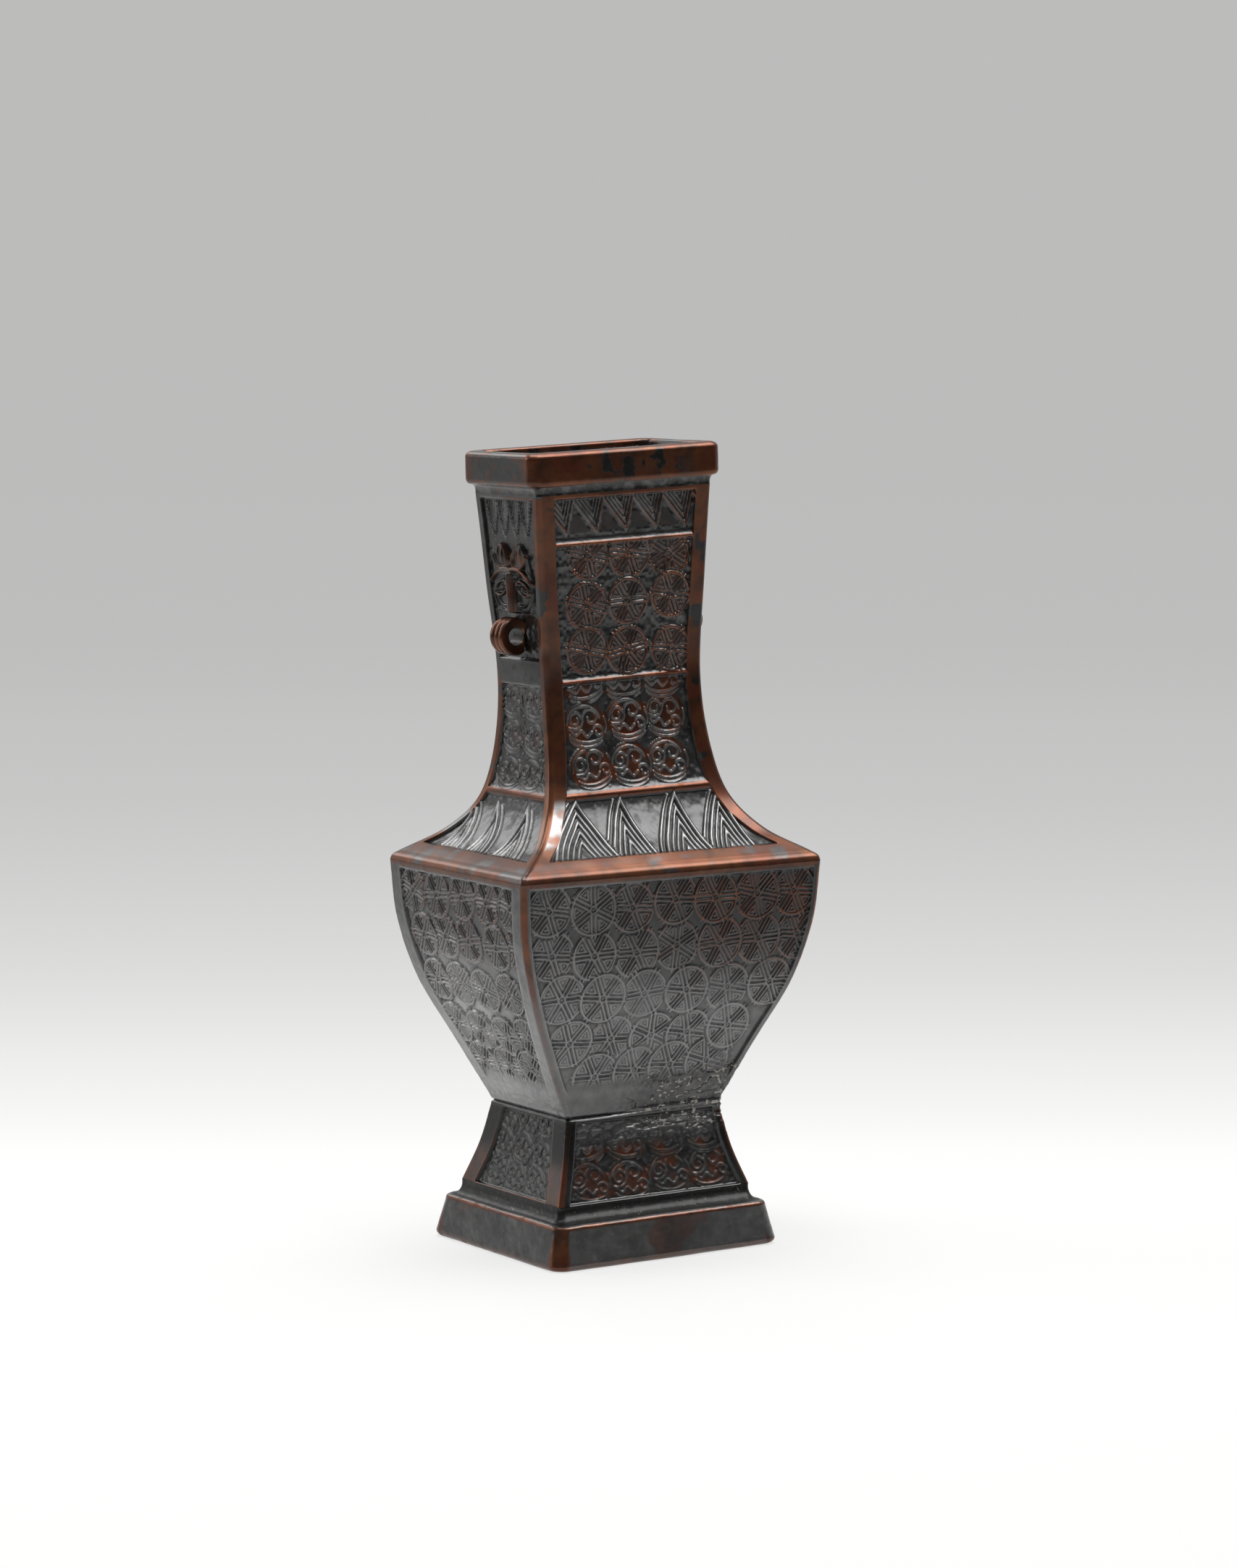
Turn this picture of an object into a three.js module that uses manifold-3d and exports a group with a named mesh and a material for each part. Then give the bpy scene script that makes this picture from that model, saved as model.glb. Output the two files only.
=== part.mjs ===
// Cast bronze vase of rectangular section: a hollow body with recessed panels, a flared foot on a
// plinth, a floor plate let in at the waist, and a mask with a ridged lug on each narrow side.
// Millimetres. X runs along the wide faces, Y through them, Z up, with z = 0 under the plinth.

import * as THREE from "three";
import { mergeVertices } from "three/addons/utils/BufferGeometryUtils.js";
import Module from "manifold-3d";

const wasm = await Module();
wasm.setup();

// Heights of the main levels
const PLINTH_HEIGHT = 9;
const FOOT_PANEL_BOTTOM = 13.4;
const FOOT_PANEL_TOP = 31.2;
const WAIST_HEIGHT = 32;
const SHOULDER_HEIGHT = 87;
const NECK_TOP = 170.6;
const RIM_BOTTOM = 172.6;
const RIM_TOP = 180;

// Half width and half depth at each level, and at the heights between them
const PLINTH_HALF = [30.2, 26.2];
const PLINTH_BATTER = 1.6;
const FOOT_LOW_HALF = [25.7, 20.7];
const FOOT_MID = [22.8, 18.0, 22];
const WAIST_HALF = [20.6, 15.9];
const BELLY_LOW = [28.0, 19.9, 46];
const BELLY_MID = [35.1, 24.7, 60.5];
const BELLY_HIGH = [39.0, 27.0, 74];
const SHOULDER_HALF = [40.1, 28.1];
const SHOULDER_TOP = [38.0, 26.6, 89.3];
const SHOULDER_SLOPE = [29.8, 20.3, 94.5];
const SHOULDER_FOOT = [24.4, 15.3, 101.5];
const NECK_LOW = [21.8, 12.5, 111.5];
const NECK_NARROW = [20.8, 10.5, 128];
const NECK_UPPER = [22.1, 11.7, 151];
const NECK_TOP_HALF = [23.1, 13.3];
const RIM_OVERHANG = [2.2, 1.0];

// Walls, rounding and the lean of the neck
const BODY_WALL = 2.5;
const FOOT_WALL = 2.6;
const PLINTH_WALL = 5;
const MOUTH_LAND = 3;
const BODY_CORNER = 1.2;
const FOOT_CORNER = 0.9;
const RIM_CORNER = 2.2;
const PLINTH_CORNER = 3;
const RIM_ROUND = 1.3;
const RIM_UNDER_SHARE = 0.4;
const PLINTH_ROUND = 1.3;
const PLINTH_ARRIS_ROUND = 0.5;
const SHOULDER_ROUND = 1.1;
const SHOULDER_ROUND_IN = 0.35;
const WAIST_CHAMFER = 0.45;
const NECK_LEAN = 0.0407;
const LEAN_START = 90;
const LEAN_BLEND = 27;

// Recessed panels: depth, the slope of their edges, and the plain strips left at the corners,
// each as the width on the wide faces and on the narrow faces
const PANEL_DEPTH = 0.6;
const PANEL_EDGE = 0.35;
const NECK_STRIP = [4.1, 2.4];
const BELLY_STRIP = [1.9, 4.6];
const FOOT_STRIP = [2.4, 5.8];
const BELLY_PANEL = [38, 85.6];
const NECK_PANEL = [91, 169.8];
const RIB_WIDTH = 1.1;
const FRONT_RIBS = [104, 129, 159.5];
const SIDE_RIBS = [104];
const SIDE_BAND = [128.4, 134];

// Floor plate let into the body from below, resting on the top of the foot
const PLATE_THICKNESS = 2;
const PLATE_LEDGE = 2.6;
const FOOT_TOP_THICKNESS = 2.4;
const FIT_CLEARANCE = 0.3;

// Stretches of the outer curves that the inner wall follows, from top to bottom
const INNER_NECK_SPAN = [0.97, 0.11];
const INNER_BELLY_SPAN = [0.96, 0.12];
const INNER_FOOT_SPAN = [0.85, 0.1];

// Lug: a short ribbed tube across each narrow face
const LUG_HEIGHT = 139.4;
const LUG_RADIUS = 4.2;
const LUG_HOLE_RADIUS = 1.95;
const LUG_WIDTH = 5;
const LUG_STANDOFF = 2.3;
const LUG_RIDGES = 3;
const LUG_GROOVE = 0.45;

// Mask above each lug: horns, brow, slanted eyes, cheek whorls and a nose that ends at the lug.
// Places are across from the middle and up from z = 0, before the lean.
const MASK_BOTTOM = 144.1;
const MASK_HEIGHT = 16.2;
const MASK_HALF_WIDTH = 8.4;
const MASK_NARROWING = 0.16;
const MASK_NOTCH = 3;
const MASK_BASE = 0.4;
const HORN = { y: 3.7, z: 157.2, halfWidth: 3.3, halfHeight: 3.2, height: 0.9, rim: 0.35, vein: 0.4 };
const BROW = { y: 3.6, z: 154.1, drop: 0.1, width: 0.85, height: 1.2 };
const EYE = { y: 4.1, z: 150.9, slant: 0.32, halfWidth: 3.1, halfHeight: 1.5, height: 0.9, rim: 0.35 };
const WHORL = { y: 5.0, z: 147.1, halfWidth: 2.1, halfHeight: 2.3, height: 0.9, rim: 0.3 };
const NOSE = { halfWidth: 2.1, top: 153.4, fade: 1.2, height: 1.8 };

// Mesh fineness
const CORNER_STEPS = 3;
const ROUND_STEPS = 3;
const FOOT_STEPS = 6;
const BELLY_STEPS = 13;
const NECK_STEPS = 26;
const INNER_STEPS = 11;
const LUG_STEPS = 32;
const RIDGE_STEPS = 4;
const MASK_COLUMNS = 28;
const MASK_ROWS = 26;

const patina = { color: 0x3a3836, roughness: 0.42, metalness: 0.85 };
const wornBronze = { color: 0x5e3522, roughness: 0.38, metalness: 0.9 };
const rawBronze = { color: 0x4a3527, roughness: 0.6, metalness: 0.8 };

// A station is a Vector3 that holds half width, half depth and height.
function station([halfWidth, halfDepth], height) {
  return new THREE.Vector3(halfWidth, halfDepth, height);
}

function stationAt([halfWidth, halfDepth, height]) {
  return new THREE.Vector3(halfWidth, halfDepth, height);
}

const footCurve = new THREE.CatmullRomCurve3([
  station(FOOT_LOW_HALF, FOOT_PANEL_BOTTOM),
  stationAt(FOOT_MID),
  station(WAIST_HALF, WAIST_HEIGHT),
]);
const bellyCurve = new THREE.CatmullRomCurve3([
  station(WAIST_HALF, WAIST_HEIGHT),
  stationAt(BELLY_LOW),
  stationAt(BELLY_MID),
  stationAt(BELLY_HIGH),
  station(SHOULDER_HALF, SHOULDER_HEIGHT),
]);
const neckCurve = new THREE.CatmullRomCurve3([
  stationAt(SHOULDER_TOP),
  stationAt(SHOULDER_SLOPE),
  stationAt(SHOULDER_FOOT),
  stationAt(NECK_LOW),
  stationAt(NECK_NARROW),
  stationAt(NECK_UPPER),
  station(NECK_TOP_HALF, NECK_TOP),
]);

// Finds the curve parameter whose point lies at the given height, by halving.
function parameterAtHeight(curve, height) {
  let low = 0;
  let high = 1;
  for (let step = 0; step < 40; step += 1) {
    const middle = (low + high) / 2;
    if (curve.getPoint(middle).z < height) low = middle;
    else high = middle;
  }
  return (low + high) / 2;
}

// Outward and upward parts of the wall's normal, for the narrow sides (from half width) and the
// wide faces (from half depth).
function wallNormals(curve, parameter) {
  const slope = curve.getTangent(parameter);
  const sideLength = Math.hypot(slope.x, slope.z);
  const frontLength = Math.hypot(slope.y, slope.z);
  return {
    side: [slope.z / sideLength, -slope.x / sideLength],
    front: [slope.z / frontLength, -slope.y / frontLength],
  };
}

const upright = { side: [1, 0], front: [1, 0] };

// A row is one closed horizontal ring of the wall, before the lean.
function row(point, corner, extra = {}) {
  return {
    halfWidth: point.x,
    halfDepth: point.y,
    height: point.z,
    corner,
    normals: upright,
    recess: [0, 0],
    strip: [0, 0],
    ...extra,
  };
}

// Depth of a panel at a height: full between its two ends, nothing beyond them, with sloped edges.
function panelDepth(height, [bottom, top]) {
  const inside = Math.min(height - bottom, top - height);
  return PANEL_DEPTH * THREE.MathUtils.clamp(inside / PANEL_EDGE, 0, 1);
}

function ribbedDepth(height, panel, ribs, bands) {
  let depth = panelDepth(height, panel);
  const raised = ribs.map((middle) => [middle - RIB_WIDTH / 2, middle + RIB_WIDTH / 2]);
  for (const [bottom, top] of [...raised, ...bands]) {
    const outside = Math.max(bottom - height, height - top);
    depth = Math.min(depth, PANEL_DEPTH * THREE.MathUtils.clamp(outside / PANEL_EDGE, 0, 1));
  }
  return depth;
}

const neckDepth = (height) => [
  ribbedDepth(height, NECK_PANEL, FRONT_RIBS, []),
  ribbedDepth(height, NECK_PANEL, SIDE_RIBS, [SIDE_BAND]),
];
const bellyDepth = (height) => [panelDepth(height, BELLY_PANEL), panelDepth(height, BELLY_PANEL)];
const footPanel = [FOOT_PANEL_BOTTOM + PANEL_EDGE, FOOT_PANEL_TOP];
const footDepth = (height) => [panelDepth(height, footPanel), panelDepth(height, footPanel)];

// Heights where the neck's and belly's panels start and end, on both sides of each sloped edge.
function edgeHeights(panel, ribs, bands) {
  const heights = [panel[0], panel[0] + PANEL_EDGE, panel[1] - PANEL_EDGE, panel[1]];
  const raised = ribs.map((middle) => [middle - RIB_WIDTH / 2, middle + RIB_WIDTH / 2]);
  for (const [bottom, top] of [...raised, ...bands]) {
    heights.push(bottom - PANEL_EDGE, bottom, top, top + PANEL_EDGE);
  }
  return heights;
}

// Rows of one curved stretch: even steps along the curve plus every panel edge, without doubles.
function curveRows(curve, steps, edges, corner, strip, depthAt, from = 0, to = 1) {
  const parameters = edges.map((height) => parameterAtHeight(curve, height));
  for (let step = 0; step <= steps; step += 1) {
    const parameter = from + ((to - from) * step) / steps;
    const nearest = Math.min(...edges.map((z) => Math.abs(curve.getPoint(parameter).z - z)), 9);
    if (nearest > PANEL_EDGE || step === 0 || step === steps) parameters.push(parameter);
  }
  parameters.sort((first, second) => first - second);
  const distinct = parameters.filter((value, index) => {
    return index === 0 || value - parameters[index - 1] > 1e-5;
  });
  return distinct.map((parameter) => {
    const point = curve.getPoint(parameter);
    return row(point, corner, {
      normals: wallNormals(curve, parameter),
      recess: depthAt(point.z),
      strip,
    });
  });
}

// Points of one ring, counterclockwise from above. Each side runs between its corner arcs with
// the panel's two edges and its middle, and the arcs round the corners.
function ringPoints(ring) {
  const points = [];
  const sides = [
    { turn: 0, half: ring.halfWidth, distance: ring.halfDepth, kind: 0, normal: ring.normals.front },
    { turn: 1, half: ring.halfDepth, distance: ring.halfWidth, kind: 1, normal: ring.normals.side },
    { turn: 2, half: ring.halfWidth, distance: ring.halfDepth, kind: 0, normal: ring.normals.front },
    { turn: 3, half: ring.halfDepth, distance: ring.halfWidth, kind: 1, normal: ring.normals.side },
  ];
  for (const side of sides) {
    const angle = (side.turn * Math.PI) / 2;
    const place = (along, outward, height) => {
      const x = along * Math.cos(angle) + outward * Math.sin(angle);
      const y = along * Math.sin(angle) - outward * Math.cos(angle);
      points.push(new THREE.Vector3(x, y, height));
    };
    const strip = Math.max(ring.strip[side.kind], ring.corner + PANEL_EDGE);
    const depth = ring.recess[side.kind];
    const straight = side.half - ring.corner;
    const outerEdge = side.half - strip;
    const innerEdge = outerEdge - PANEL_EDGE;
    const sunk = [side.distance - depth * side.normal[0], ring.height - depth * side.normal[1]];
    place(-straight, side.distance, ring.height);
    place(-outerEdge, side.distance, ring.height);
    place(-innerEdge, ...sunk);
    place(0, ...sunk);
    place(innerEdge, ...sunk);
    place(outerEdge, side.distance, ring.height);
    for (let step = 0; step < CORNER_STEPS; step += 1) {
      const bend = (step / CORNER_STEPS) * (Math.PI / 2);
      const along = straight + ring.corner * Math.sin(bend);
      const outward = side.distance - ring.corner + ring.corner * Math.cos(bend);
      place(along, outward, ring.height);
    }
  }
  return points;
}

// The neck leans towards -X: above the start of the lean a point moves sideways in proportion to
// its height, and the rings tilt with it.
function lean(point) {
  const rise = Math.max(0, point.z - LEAN_START);
  const tilt = THREE.MathUtils.smoothstep(point.z, LEAN_START, LEAN_START + LEAN_BLEND);
  const x = point.x - NECK_LEAN * rise;
  const z = point.z + NECK_LEAN * tilt * point.x;
  return new THREE.Vector3(x, point.y, z);
}

// Joins a closed chain of rings into one closed skin. The chain runs up the outside, over the
// top and down the inside, so the faces point away from the metal.
function skinOfRings(rows) {
  const rings = rows.map((ring) => ringPoints(ring).map(lean));
  const count = rings[0].length;
  const positions = rings.flat().flatMap((point) => point.toArray());
  const index = [];
  rings.forEach((_, level) => {
    const next = (level + 1) % rings.length;
    for (let column = 0; column < count; column += 1) {
      const across = (column + 1) % count;
      const corners = [level * count + column, level * count + across];
      const upper = [next * count + column, next * count + across];
      index.push(corners[0], corners[1], upper[1], corners[0], upper[1], upper[0]);
    }
  });
  const geometry = new THREE.BufferGeometry();
  geometry.setAttribute("position", new THREE.Float32BufferAttribute(positions, 3));
  geometry.setIndex(index);
  return geometry;
}

function namedMesh(name, geometry, finish) {
  const mesh = new THREE.Mesh(geometry, new THREE.MeshStandardMaterial(finish));
  mesh.name = name;
  return mesh;
}

// A point of the inner wall, one wall thickness in from the curve along its mean normal.
function innerStation(curve, parameter, wall) {
  const point = curve.getPoint(parameter);
  const slope = curve.getTangent(parameter);
  const spread = (slope.x + slope.y) / 2;
  const length = Math.hypot(spread, slope.z);
  const inward = (wall * slope.z) / length;
  const raise = (wall * spread) / length;
  return new THREE.Vector3(point.x - inward, point.y - inward, point.z + raise);
}

// Rows of the inner wall, going down the curve from one parameter to another.
function innerRows(curve, steps, wall, from, to) {
  return Array.from({ length: steps + 1 }, (_, step) => {
    const parameter = THREE.MathUtils.lerp(from, to, step / steps);
    return row(innerStation(curve, parameter, wall), BODY_CORNER);
  });
}

// A quarter turn of the outline: it moves outward by the given reach while it climbs, either as
// the underside of an edge (convex) or as a cove or the top of an edge.
function quarterRound(start, outward, climb, convex, corner, steps = ROUND_STEPS) {
  const rows = [];
  for (let step = 0; step <= steps; step += 1) {
    const turn = ((step / steps) * Math.PI) / 2;
    const spread = convex ? Math.sin(turn) : 1 - Math.cos(turn);
    const rise = convex ? 1 - Math.cos(turn) : Math.sin(turn);
    const x = start.x + outward[0] * spread;
    const y = start.y + outward[1] * spread;
    rows.push(row(new THREE.Vector3(x, y, start.z + climb * rise), corner));
  }
  return rows;
}

const rimHalf = NECK_TOP_HALF.map((half, axis) => half + RIM_OVERHANG[axis]);
const mouthHalf = rimHalf.map((half) => half - MOUTH_LAND);

function mouthRows() {
  const coveStart = station(NECK_TOP_HALF, NECK_TOP);
  const coveReach = RIM_OVERHANG.map((reach) => reach * (1 - RIM_UNDER_SHARE));
  const cove = quarterRound(coveStart, coveReach, RIM_BOTTOM - NECK_TOP, false, BODY_CORNER);
  const lowRound = RIM_OVERHANG.map((reach) => reach * RIM_UNDER_SHARE);
  const lowEdge = rimHalf.map((half, axis) => half - lowRound[axis]);
  const under = quarterRound(station(lowEdge, RIM_BOTTOM), lowRound, RIM_ROUND, true, RIM_CORNER);
  const topStart = station(rimHalf, RIM_TOP - RIM_ROUND);
  const over = quarterRound(topStart, [-RIM_ROUND, -RIM_ROUND], RIM_ROUND, false, RIM_CORNER);
  const lip = row(station(mouthHalf.map((half) => half + RIM_ROUND / 2), RIM_TOP), RIM_CORNER);
  const inside = row(station(mouthHalf, RIM_TOP - RIM_ROUND / 2), RIM_CORNER);
  return [...cove.slice(1), ...under.slice(1), ...over, lip, inside];
}

function vesselBody() {
  const heel = WAIST_HALF.map((half) => half - WAIST_CHAMFER);
  const bellyEdges = [WAIST_HEIGHT + WAIST_CHAMFER, ...edgeHeights(BELLY_PANEL, [], [])];
  const belly = curveRows(bellyCurve, BELLY_STEPS, bellyEdges, BODY_CORNER, BELLY_STRIP, bellyDepth);
  const neckEdges = [
    ...edgeHeights(NECK_PANEL, FRONT_RIBS, []),
    ...edgeHeights(NECK_PANEL, SIDE_RIBS, [SIDE_BAND]),
  ];
  const neck = curveRows(neckCurve, NECK_STEPS, neckEdges, BODY_CORNER, NECK_STRIP, neckDepth);
  const shoulderHalf = SHOULDER_HALF.map((half) => half - SHOULDER_ROUND_IN);
  const shoulder = row(station(shoulderHalf, SHOULDER_HEIGHT + SHOULDER_ROUND), BODY_CORNER);
  const floorHalf = WAIST_HALF.map((half) => half - BODY_WALL);
  return skinOfRings([
    row(station(heel, WAIST_HEIGHT), BODY_CORNER),
    ...belly.slice(1),
    shoulder,
    ...neck,
    ...mouthRows(),
    ...innerRows(neckCurve, INNER_STEPS, BODY_WALL, ...INNER_NECK_SPAN),
    ...innerRows(bellyCurve, INNER_STEPS, BODY_WALL, ...INNER_BELLY_SPAN),
    row(station(floorHalf, WAIST_HEIGHT + PLATE_THICKNESS + BODY_WALL), BODY_CORNER),
    row(station(floorHalf, WAIST_HEIGHT), BODY_CORNER),
  ]);
}

const ledgeHalf = WAIST_HALF.map((half) => half - BODY_WALL - PLATE_LEDGE);

function foot() {
  const plinthTopHalf = PLINTH_HALF.map((half) => half - PLINTH_BATTER);
  const soleHalf = PLINTH_HALF.map((half) => half - PLINTH_ROUND);
  const sole = quarterRound(
    station(soleHalf, 0),
    [PLINTH_ROUND, PLINTH_ROUND],
    PLINTH_ROUND,
    true,
    PLINTH_CORNER,
  );
  const arris = row(station(plinthTopHalf, PLINTH_HEIGHT), PLINTH_CORNER);
  const arrisHalf = plinthTopHalf.map((half) => half - PLINTH_ARRIS_ROUND);
  const coveStart = station(arrisHalf, PLINTH_HEIGHT + PLINTH_ARRIS_ROUND);
  const arrisTop = row(coveStart, PLINTH_CORNER);
  const coveRise = FOOT_PANEL_BOTTOM - PLINTH_HEIGHT - PLINTH_ARRIS_ROUND;
  const coveReach = arrisHalf.map((half, axis) => FOOT_LOW_HALF[axis] - half);
  const cove = quarterRound(coveStart, coveReach, coveRise, true, FOOT_CORNER).slice(1, -1);
  const footEdges = edgeHeights(footPanel, [], []);
  const flare = curveRows(footCurve, FOOT_STEPS, footEdges, FOOT_CORNER, FOOT_STRIP, footDepth);
  const top = WAIST_HALF.map((half) => half - WAIST_CHAMFER);
  const plinthInner = PLINTH_HALF.map((half) => half - PLINTH_WALL);
  return skinOfRings([
    ...sole,
    arris,
    arrisTop,
    ...cove,
    ...flare.slice(0, -1),
    row(station(WAIST_HALF, WAIST_HEIGHT - WAIST_CHAMFER), FOOT_CORNER),
    row(station(top, WAIST_HEIGHT), FOOT_CORNER),
    row(station(ledgeHalf, WAIST_HEIGHT), BODY_CORNER),
    row(station(ledgeHalf, WAIST_HEIGHT - FOOT_TOP_THICKNESS), BODY_CORNER),
    ...innerRows(footCurve, FOOT_STEPS, FOOT_WALL, ...INNER_FOOT_SPAN),
    row(station(plinthInner, PLINTH_HEIGHT - FOOT_WALL / 2), BODY_CORNER),
    row(station(plinthInner, 0), BODY_CORNER),
  ]);
}

function roundedRectangle(halfWidth, halfDepth, radius) {
  const shape = new THREE.Shape();
  shape.absarc(halfWidth - radius, halfDepth - radius, radius, 0, Math.PI / 2);
  shape.absarc(radius - halfWidth, halfDepth - radius, radius, Math.PI / 2, Math.PI);
  shape.absarc(radius - halfWidth, radius - halfDepth, radius, Math.PI, Math.PI * 1.5);
  shape.absarc(halfWidth - radius, radius - halfDepth, radius, Math.PI * 1.5, Math.PI * 2);
  return shape;
}

function floorPlate() {
  const [halfWidth, halfDepth] = WAIST_HALF.map((half) => half - BODY_WALL - FIT_CLEARANCE);
  const outline = roundedRectangle(halfWidth, halfDepth, BODY_CORNER);
  const settings = { depth: PLATE_THICKNESS, bevelEnabled: false, curveSegments: CORNER_STEPS };
  const geometry = new THREE.ExtrudeGeometry(outline, settings);
  geometry.translate(0, 0, WAIST_HEIGHT);
  return geometry;
}

// The sunk face of the neck's narrow side between two heights, taken as flat: where it stands at
// the lower height and how far it moves outward for each millimetre of climb.
function sideFace(low, high) {
  const outwardAt = (height) => {
    const parameter = parameterAtHeight(neckCurve, height);
    return neckCurve.getPoint(parameter).x - PANEL_DEPTH * wallNormals(neckCurve, parameter).side[0];
  };
  return { start: outwardAt(low), slope: (outwardAt(high) - outwardAt(low)) / (high - low), low };
}

function toManifold(geometry) {
  const bare = geometry.clone();
  bare.deleteAttribute("normal");
  bare.deleteAttribute("uv");
  const merged = mergeVertices(bare, 1e-4);
  return new wasm.Manifold(new wasm.Mesh({
    numProp: 3,
    vertProperties: new Float32Array(merged.attributes.position.array),
    triVerts: new Uint32Array(merged.index.array),
  }));
}

function fromManifold(solid) {
  const mesh = solid.getMesh();
  const geometry = new THREE.BufferGeometry();
  geometry.setAttribute("position", new THREE.BufferAttribute(mesh.vertProperties, 3));
  geometry.setIndex(new THREE.BufferAttribute(mesh.triVerts, 1));
  return geometry;
}

// Moves every point of a piece on the neck with the neck's lean. On the +X side the piece is
// first turned half round the vertical axis, so that it keeps its faces outward.
function seatOnNeck(geometry, side) {
  if (side > 0) geometry.rotateZ(Math.PI);
  const position = geometry.attributes.position;
  const point = new THREE.Vector3();
  for (let index = 0; index < position.count; index += 1) {
    point.fromBufferAttribute(position, index);
    position.setXYZ(index, ...lean(point).toArray());
  }
  return geometry;
}

// Ribbed tube about an axis along Y, cut off flat just clear of the sunk face of the neck. Each
// ridge is half a wave across the tube's width.
function lug(side) {
  const half = LUG_WIDTH / 2;
  const profile = [new THREE.Vector2(LUG_HOLE_RADIUS, -half)];
  const steps = LUG_RIDGES * RIDGE_STEPS;
  for (let step = 0; step <= steps; step += 1) {
    const crest = Math.abs(Math.sin((step / RIDGE_STEPS) * Math.PI));
    const radius = LUG_RADIUS - LUG_GROOVE * (1 - crest);
    profile.push(new THREE.Vector2(radius, -half + (LUG_WIDTH * step) / steps));
  }
  profile.push(new THREE.Vector2(LUG_HOLE_RADIUS, half));
  profile.push(profile[0].clone());
  const tube = new THREE.LatheGeometry(profile, LUG_STEPS);
  const face = sideFace(LUG_HEIGHT - LUG_RADIUS, LUG_HEIGHT + LUG_RADIUS);
  const wall = face.start + face.slope * LUG_RADIUS;
  tube.translate(-wall - LUG_STANDOFF, 0, LUG_HEIGHT);
  const reach = LUG_RADIUS * 4;
  const cutter = new THREE.BoxGeometry(reach, reach, reach);
  cutter.translate(reach / 2, 0, 0);
  cutter.rotateY(Math.atan(-face.slope));
  cutter.translate(-wall - FIT_CLEARANCE, 0, LUG_HEIGHT);
  return seatOnNeck(fromManifold(toManifold(tube).subtract(toManifold(cutter))), side);
}

// Smooth bump that is 1 at distance 0 and fades to 0 at distance 1.
function bump(distance) {
  const inside = Math.max(0, 1 - distance * distance);
  return inside * inside;
}

// Place within an oval: 0 at its middle, 1 on its outline.
function ovalPlace(across, z, oval) {
  const slanted = z - oval.z + (oval.slant ?? 0) * (across - oval.y);
  return Math.hypot((across - oval.y) / oval.halfWidth, slanted / oval.halfHeight);
}

// A raised outline round an oval with a boss in its middle.
function ringedOval(across, z, oval) {
  const place = ovalPlace(across, z, oval);
  return oval.height * Math.max(bump((place - 1 + oval.rim) / oval.rim), bump(place / (1 - oval.rim)));
}

// Height of the mask's relief over its base. The horns are hollow leaves with a vein, the brow
// arches over both eyes, and the nose runs down the middle to the lug.
function maskRelief(y, z) {
  const across = Math.abs(y);
  const leaf = ovalPlace(across, z, HORN);
  const vein = HORN.vein * bump((across - HORN.y) / HORN.vein) * bump(leaf);
  const horn = HORN.height * bump((leaf - 1 + HORN.rim) / HORN.rim) + vein;
  const browHeight = BROW.z - BROW.drop * (across - BROW.y) ** 2;
  const brow = BROW.height * bump((z - browHeight) / BROW.width);
  const below = THREE.MathUtils.smoothstep(NOSE.top - z, 0, NOSE.fade);
  const nose = NOSE.height * below * Math.sqrt(bump(across / NOSE.halfWidth));
  const eye = ringedOval(across, z, EYE);
  const whorl = ringedOval(across, z, WHORL);
  return Math.max(horn, brow, eye, whorl, nose);
}

// Outline of the mask: a shield that narrows at both ends, with a notch between the horns on top.
function maskPoint(u, v) {
  const halfWidth = MASK_HALF_WIDTH * (1 - MASK_NARROWING * (1 - Math.sin(v * Math.PI)));
  const crest = Math.sin(Math.abs(u) * Math.PI) ** 2;
  const top = MASK_HEIGHT - MASK_NOTCH * (1 - crest);
  return [u * halfWidth, MASK_BOTTOM + v * top];
}

// Relief front on a grid, and a flat back just clear of the neck's sunk side face.
function mask(side) {
  const face = sideFace(MASK_BOTTOM, MASK_BOTTOM + MASK_HEIGHT);
  const backAt = (z) => face.start + face.slope * (z - face.low) + FIT_CLEARANCE;
  const positions = [];
  const columns = MASK_COLUMNS + 1;
  for (let line = 0; line <= MASK_ROWS; line += 1) {
    for (let column = 0; column <= MASK_COLUMNS; column += 1) {
      const [y, z] = maskPoint((column / MASK_COLUMNS) * 2 - 1, line / MASK_ROWS);
      const rim = line === 0 || line === MASK_ROWS || column === 0 || column === MASK_COLUMNS;
      const height = MASK_BASE + (rim ? 0 : maskRelief(y, z));
      positions.push(-backAt(z) - height, y, z);
    }
  }
  const index = [];
  for (let line = 0; line < MASK_ROWS; line += 1) {
    for (let column = 0; column < MASK_COLUMNS; column += 1) {
      const low = line * columns + column;
      const high = low + columns;
      index.push(low, high, low + 1, low + 1, high, high + 1);
    }
  }
  const border = [];
  for (let column = 0; column < MASK_COLUMNS; column += 1) border.push(column);
  for (let line = 0; line < MASK_ROWS; line += 1) border.push(line * columns + MASK_COLUMNS);
  for (let column = MASK_COLUMNS; column > 0; column -= 1) border.push(MASK_ROWS * columns + column);
  for (let line = MASK_ROWS; line > 0; line -= 1) border.push(line * columns);
  const firstBack = positions.length / 3;
  const outline = border.map((vertex) => {
    const [y, z] = [positions[vertex * 3 + 1], positions[vertex * 3 + 2]];
    positions.push(-backAt(z), y, z);
    return new THREE.Vector2(y, z);
  });
  border.forEach((vertex, place) => {
    const next = (place + 1) % border.length;
    index.push(vertex, border[next], firstBack + next);
    index.push(vertex, firstBack + next, firstBack + place);
  });
  for (const [first, second, third] of THREE.ShapeUtils.triangulateShape(outline, [])) {
    index.push(firstBack + first, firstBack + second, firstBack + third);
  }
  const geometry = new THREE.BufferGeometry();
  geometry.setAttribute("position", new THREE.Float32BufferAttribute(positions, 3));
  geometry.setIndex(index);
  return seatOnNeck(geometry, side);
}

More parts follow.
